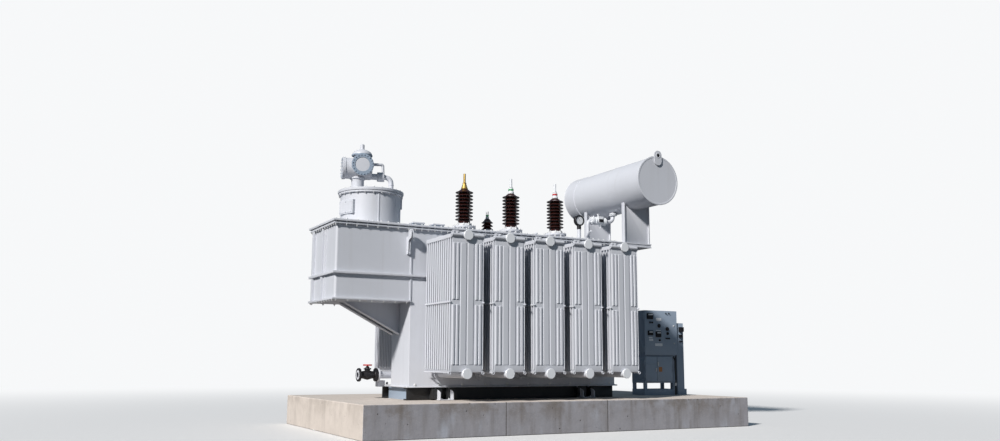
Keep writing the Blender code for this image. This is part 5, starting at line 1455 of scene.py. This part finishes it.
class TRANSFORMER_OT_gauge_and_relay(Dress):
    """Builds the dial gauge, and the gas relay with its flanged pipe"""
    bl_idname = "transformer.gauge_and_relay"
    bl_label = "Gauge and relay"

    ticks = 9
    first_tick, tick_step = -120, 30
    needle_turn = -0.7
    pipe_foot, pipe_top = 1.304, 1.835
    pipe_rise = 0.42
    flange_places = (1.376, 1.396, 1.448, 1.624, 1.646)
    relay_start = 1.464
    valve_place = 1.425

    def make(self, looks, size):
        low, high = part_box("dial_gauge")
        radius = (high.x - low.x) / 2
        foot = foot_of("dial_gauge")
        middle = Vector((foot.x, 0, high.z - radius))
        depth = high.y - low.y
        dial = high.y - depth + 0.010
        gauge = Piece("dial_gauge_dressed")
        gauge.round([(0, 0), (radius - 0.012, 0), (radius, 0.010), (radius, depth - 0.006),
                     (radius - 0.005, depth), (radius - 0.022, depth), (radius - 0.028, depth - 0.010),
                     (0, depth - 0.010)], middle + Vector((0, high.y, 0)), (0, -1, 0), 48)
        gauge.round([(0, 0), (radius - 0.027, 0), (radius - 0.027, 0.002), (0, 0.002)],
                    middle + Vector((0, dial, 0)), (0, -1, 0), 40, 1)
        tick = block_shape((-0.0015, -0.001, 0.042), (0.0015, 0.001, 0.056), 0.0004)
        for number in range(self.ticks):
            turn = Matrix.Rotation(math.radians(self.first_tick + number * self.tick_step), 4, "Y")
            gauge.add(tick, Matrix.Translation(middle + Vector((0, dial - 0.002, 0))) @ turn)
        needle = block_shape((-0.002, -0.001, -0.012), (0.002, 0.001, 0.050), 0.0006)
        turn = Matrix.Rotation(self.needle_turn, 4, "Y")
        gauge.add(needle, Matrix.Translation(middle + Vector((0, dial - 0.004, 0))) @ turn)
        stalk = middle.z - low.z - radius * 0.9
        gauge.round([(0, 0), (0.048, 0), (0.048, 0.014), (0.036, 0.018), (0.032, 0.030),
                     (0.032, stalk - 0.06), (0, stalk - 0.06)], foot, steps=28, finish=2)
        gauge.round([(0, stalk - 0.062), (0.036, stalk - 0.062), (0.036, stalk), (0, stalk)], foot, steps=28)
        gauge.done([looks["black iron"], looks["white enamel"], looks["transformer paint"]], "black_iron",
                   replaced=["dial_gauge"])
        self.relay(looks)

    def relay(self, looks):
        """The pipe from cover to conservator, with a valve and the gas relay between flanges."""
        low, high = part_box("relay_pipe")
        y = (low.y + high.y) / 2
        z = low.z + self.pipe_rise
        left, right = self.pipe_foot, self.pipe_top
        foot, top = Vector((left, y, low.z)), Vector((right, y, high.z))
        low_corner, high_corner = Vector((left, y, z)), Vector((right, y, z))
        piece = Piece("relay_pipe_dressed")
        route = [foot] + bend(foot, low_corner, high_corner, 0.0875)
        route += bend(low_corner, high_corner, top, 0.12) + [top]
        piece.add(pipe_shape(route, 0.032, 6))
        flange = [(0, 0), (0.066, 0), (0.068, 0.003), (0.068, 0.013), (0.064, 0.016), (0, 0.016)]
        for x in self.flange_places:
            piece.round(flange, (x, y, z), (1, 0, 0), 32, 1)
        piece.round([(0, 0), (0.046, 0), (0.062, 0.03), (0.066, 0.08), (0.062, 0.13), (0.046, 0.16),
                     (0, 0.16)], (self.relay_start, y, z), (1, 0, 0), 32, 1)
        piece.block((1.490, y - 0.052, z + 0.030), (1.602, y + 0.052, z + 0.078), 0.008, 3, 1)
        piece.block((1.500, y - 0.070, z - 0.022), (1.590, y - 0.050, z + 0.030), 0.004, 2, 3)
        piece.round([(0, 0.07), (0.012, 0.07), (0.012, 0.110), (0.020, 0.113), (0.020, 0.124), (0, 0.127)],
                    (1.520, y, z), steps=20, finish=1)
        piece.round([(0, 0.05), (0.022, 0.05), (0.022, 0.090), (0.014, 0.094), (0.012, 0.120), (0, 0.122)],
                    (1.560, y, z), (0, 0, -1), 20, 1)
        piece.round([(0, -0.055), (0.030, -0.055), (0.046, -0.030), (0.046, 0.030), (0.030, 0.055),
                     (0.012, 0.060), (0.012, 0.085), (0, 0.086)],
                    (self.valve_place, y, z), steps=28, finish=1)
        knob = [(0, -0.022), (0.012, -0.020), (0.021, -0.008), (0.021, 0.008), (0.012, 0.020), (0, 0.022)]
        for x, drop in ((1.335, 0.035), (1.318, 0.205)):
            grip = Vector((x, y - 0.075, z - drop))
            piece.round(knob, grip, (0, -1, 0), 20, 1)
            piece.add(pipe_shape([grip, grip + Vector((0.0, 0.075, 0))], 0.007, 2), finish=2)
        piece.round(flange, foot, steps=32)
        for rise in (0.118, 0.142):
            piece.round(flange, (right, y, z + rise), steps=32, finish=1)
        bolt = bolt_shape(0.008)
        for x, way in ((1.662, 1), (1.376, -1)):
            piece.ring_of(bolt, 6, 0.053, (x, y, z), (way, 0, 0), finish=2)
        piece.done([looks["transformer paint"], looks["white enamel"], looks["zinc"], looks["black iron"]],
                   replaced=["relay_pipe"])


class TRANSFORMER_OT_drain_valve(Dress):
    """Builds the drain pipe, the flanged valve and its handwheel"""
    bl_idname = "transformer.drain_valve"
    bl_label = "Drain valve"

    axis_y = 0.015

    def make(self, looks, size):
        rounded_copy("drain_pipe", looks["transformer paint"], 0.002, 2)
        low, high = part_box("drain_valve")
        y = self.axis_y
        z = low.z + 0.10
        valve = Piece("drain_valve_dressed")
        start = Vector((high.x, y, z))
        reach = high.x - low.x
        valve.round([(0, 0), (0.098, 0), (0.100, 0.002), (0.100, 0.028), (0.097, 0.030), (0.060, 0.032),
                     (0.053, 0.040), (0.056, 0.08), (0.068, 0.12), (0.075, 0.15), (0.068, 0.18),
                     (0.056, 0.22), (0.053, 0.26), (0.060, 0.268), (0.097, 0.270), (0.100, 0.272),
                     (0.100, reach - 0.004), (0.096, reach), (0.070, reach), (0.066, reach - 0.006),
                     (0, reach - 0.006)], start, (-1, 0, 0), 48)
        valve.round([(0.040, 0), (0.070, 0), (0.071, 0.0015), (0.068, 0.003), (0.041, 0.003)],
                    start - Vector((reach - 0.002, 0, 0)), (-1, 0, 0), 48, 1)
        stem = (low.x + high.x) / 2
        valve.round([(0, 0), (0.040, 0), (0.040, 0.076), (0.056, 0.080), (0.056, 0.098), (0.038, 0.102),
                     (0.028, 0.112), (0.020, 0.128), (0, 0.130)], (stem, y, z), steps=32)
        bolt = bolt_shape(0.010)
        for x, way in ((high.x - 0.030, -1), (low.x + 0.030, 1)):
            valve.ring_of(bolt, 8, 0.083, (x, y, z), (way, 0, 0), 0.39)
        valve.ring_of(bolt_shape(0.006), 6, 0.047, (stem, y, z + 0.098), finish=2)
        valve.done([looks["black iron"], looks["transformer paint"], looks["zinc"]], "black_iron",
                   replaced=["drain_valve"])
        self.wheel(looks, Vector((stem, y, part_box("valve_handwheel")[0].z)))

    def wheel(self, looks, foot):
        """The rim and four dished spokes on a hub."""
        wheel = Piece("valve_handwheel_dressed")
        rim = [foot + Vector((0, 0, 0.015)) + point for point in circle_points(0.059, 48)]
        wheel.add(pipe_shape(rim, 0.0105, 4, closed=True))
        hub = foot + Vector((0, 0, 0.014))
        for outward in circle_points(1.0, 4, 0.4):
            middle = hub + outward * 0.030 + Vector((0, 0, 0.003))
            wheel.add(pipe_shape([hub + outward * 0.008, middle, hub + outward * 0.058], 0.005, 3))
        wheel.round([(0, 0), (0.014, 0), (0.016, 0.002), (0.016, 0.020), (0.010, 0.0235), (0, 0.0235)],
                    foot, steps=24)
        wheel.done(looks["red paint"], "red_paint", "handwheel", ["valve_handwheel"])


class TRANSFORMER_OT_cabinets(Dress):
    """Dresses the control cabinets, their doors and devices, and the cable column"""
    bl_idname = "transformer.cabinets"
    bl_label = "Control cabinets"

    doors = {"control_cabinet_door": "cabinet_door", "lower_door_left": "left_door",
             "lower_door_right": "right_door"}
    # Places on the doors' front and the column, as left, right, low and high
    meters = ((2.384, 2.500, 1.762, 1.846), (2.398, 2.497, 1.483, 1.550), (2.568, 2.668, 1.454, 1.538))
    plates = ((2.576, 2.691, 1.730, 1.776), (2.571, 2.676, 1.552, 1.571), (2.409, 2.494, 1.424, 1.447),
              (2.415, 2.506, 1.381, 1.415), (2.544, 2.704, 1.294, 1.341))
    column_boxes = ((3.085, 3.170, 1.549, 1.630, 0.045), (3.085, 3.155, 1.449, 1.499, 0.03),
                    (3.090, 3.165, 1.375, 1.394, 0.02))
    # Switches and lamps, as x, z and a share of the full size
    switches = ((2.443, 1.698, 0.7), (2.489, 1.698, 0.7), (2.637, 1.643, 1.4), (2.646, 1.396, 0.8),
                (2.817, 1.592, 1.5), (2.822, 1.514, 1.1), (2.790, 1.860, 0.5), (2.854, 1.862, 0.5),
                (2.788, 1.427, 0.6), (2.820, 1.427, 0.6), (2.852, 1.427, 0.6))
    door_screws = ((2.960, 1.647), (2.968, 1.345))
    cable_route = ((2.962, -0.470, 1.135), (2.966, -0.522, 1.05), (2.958, -0.526, 0.90),
                   (2.972, -0.530, 0.76), (2.962, -0.528, 0.60), (2.956, -0.526, PLINTH_TOP + 0.001))

    def make(self, looks, size):
        for node in ("control_cabinet", "lower_cabinet", "cabinet_stand", "cable_column", *self.doors):
            rounded_copy(node, looks["cabinet paint"], 0.0025, 2,
                         body=self.doors.get(node, BODY))
        self.door_devices(looks)
        self.lower_doors(looks)
        self.column_devices(looks)
        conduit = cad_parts["cable_conduit"]
        conduit.data.materials.clear()
        conduit.data.materials.append(looks["black rubber"])

    def door_devices(self, looks):
        """Meters, lamps, switches and blank plates on the upper door, at their places."""
        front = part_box("control_cabinet_door")[0].y
        devices = Piece("cabinet_door_devices")
        for left, right, low, high in self.meters:
            devices.block((left - 0.007, front - 0.014, low - 0.007), (right + 0.007, front, high + 0.007),
                          0.003, 2)
            devices.block((left, front - 0.024, low), (right, front - 0.012, high), 0.004, 2)
            devices.block((left + 0.012, front - 0.026, high - 0.026),
                          (right - 0.012, front - 0.022, high - 0.008), 0.001, 1, 1)
        for x, z, share in self.switches:
            switch = [(0, 0), (0.024, 0), (0.024, 0.006), (0.017, 0.008), (0.015, 0.024), (0.012, 0.027),
                      (0, 0.027)]
            shape = round_shape([(radius * share, rise) for radius, rise in switch], 24)
            devices.add(shape, at((x, front, z), (0, -1, 0)))
        for left, right, low, high in self.plates:
            devices.block((left, front - 0.003, low), (right, front, high), 0.001, 1, 1)
        for x, z in self.door_screws:
            devices.add(bolt_shape(0.010), at((x, front, z), (0, -1, 0)), 2)
        finish = [looks["black iron"], looks["white enamel"], looks["zinc"]]
        devices.done(finish, "black_iron", "cabinet_door")

    def lower_doors(self, looks):
        """The pressed line and blank plate on the small doors, and their handles."""
        low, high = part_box("lower_door_left")
        front = low.y
        left = Piece("left_door_fittings")
        left.block((low.x + 0.012, front - 0.005, 0.980), (high.x - 0.012, front, 0.992), 0.002, 2)
        left.block((high.x - 0.030, front - 0.016, 0.860), (high.x - 0.014, front, 0.920), 0.004, 2, 1)
        left.done([looks["cabinet paint"], looks["zinc"]], "cabinet_paint", "left_door")
        low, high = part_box("lower_door_right")
        right = Piece("right_door_fittings")
        right.block((2.613, front - 0.004, 0.856), (2.685, front, 0.936), 0.0015, 1, 1)
        right.block((low.x + 0.006, front - 0.016, 0.960), (low.x + 0.020, front, 1.020), 0.004, 2, 2)
        finish = [looks["cabinet paint"], looks["brown plate"], looks["zinc"]]
        right.done(finish, "cabinet_paint", "right_door")

    def column_devices(self, looks):
        """Boxes on the cable column, and the black cable beside the doors with its sleeve."""
        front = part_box("cable_column")[0].y
        boxes = Piece("column_devices")
        for left, right, low, high, deep in self.column_boxes:
            boxes.block((left, front - deep, low), (right, front + 0.004, high), 0.004, 2)
        boxes.done(looks["black iron"], "black_iron")
        points = self.cable_route
        route = [points[0]]
        for before, corner, after in zip(points, points[1:], points[2:]):
            route += bend(before, corner, after, 0.03, 4)
        cable = Piece("cabinet_cable")
        cable.add(pipe_shape(route + [points[-1]], 0.011, 3))
        cable.round([(0, 0), (0.019, 0.002), (0.019, 0.048), (0, 0.050)], (2.962, -0.529, 0.615),
                    steps=20, finish=1)
        cable.done([looks["black rubber"], looks["zinc"]], "rubber")


GROUPS = (
    TRANSFORMER_OT_stage, TRANSFORMER_OT_plinth, TRANSFORMER_OT_underframe, TRANSFORMER_OT_tank,
    TRANSFORMER_OT_side_box, TRANSFORMER_OT_radiators, TRANSFORMER_OT_turret, TRANSFORMER_OT_drive_head,
    TRANSFORMER_OT_bushings, TRANSFORMER_OT_cover_fittings, TRANSFORMER_OT_conservator,
    TRANSFORMER_OT_gauge_and_relay, TRANSFORMER_OT_drain_valve, TRANSFORMER_OT_cabinets,
)
SETTINGS = {
    "transformer_finishes": FinishSettings,
    "transformer_sizes": SizeSettings,
    "transformer_stage": StageSettings,
}


class TRANSFORMER_PT_panel(bpy.types.Panel):
    """Lists the groups of pieces and their settings"""
    bl_idname = "TRANSFORMER_PT_panel"
    bl_label = "Power transformer"
    bl_space_type = "VIEW_3D"
    bl_region_type = "UI"
    bl_category = "Transformer"

    def draw(self, context):
        for group in GROUPS:
            self.layout.operator(group.bl_idname)
        for name, settings in SETTINGS.items():
            box = self.layout.box()
            for setting in settings.__annotations__:
                box.prop(getattr(context.scene, name), setting)


def register():
    for name, settings in SETTINGS.items():
        bpy.utils.register_class(settings)
        setattr(bpy.types.Scene, name, PointerProperty(type=settings))
    for group in GROUPS:
        bpy.utils.register_class(group)
    bpy.utils.register_class(TRANSFORMER_PT_panel)


def unregister():
    bpy.utils.unregister_class(TRANSFORMER_PT_panel)
    for group in reversed(GROUPS):
        bpy.utils.unregister_class(group)
    for name, settings in SETTINGS.items():
        delattr(bpy.types.Scene, name)
        bpy.utils.unregister_class(settings)


def main():
    register()
    for group in GROUPS:
        getattr(bpy.ops.transformer, group.bl_idname.split(".")[1])()


if __name__ == "__main__":
    main()
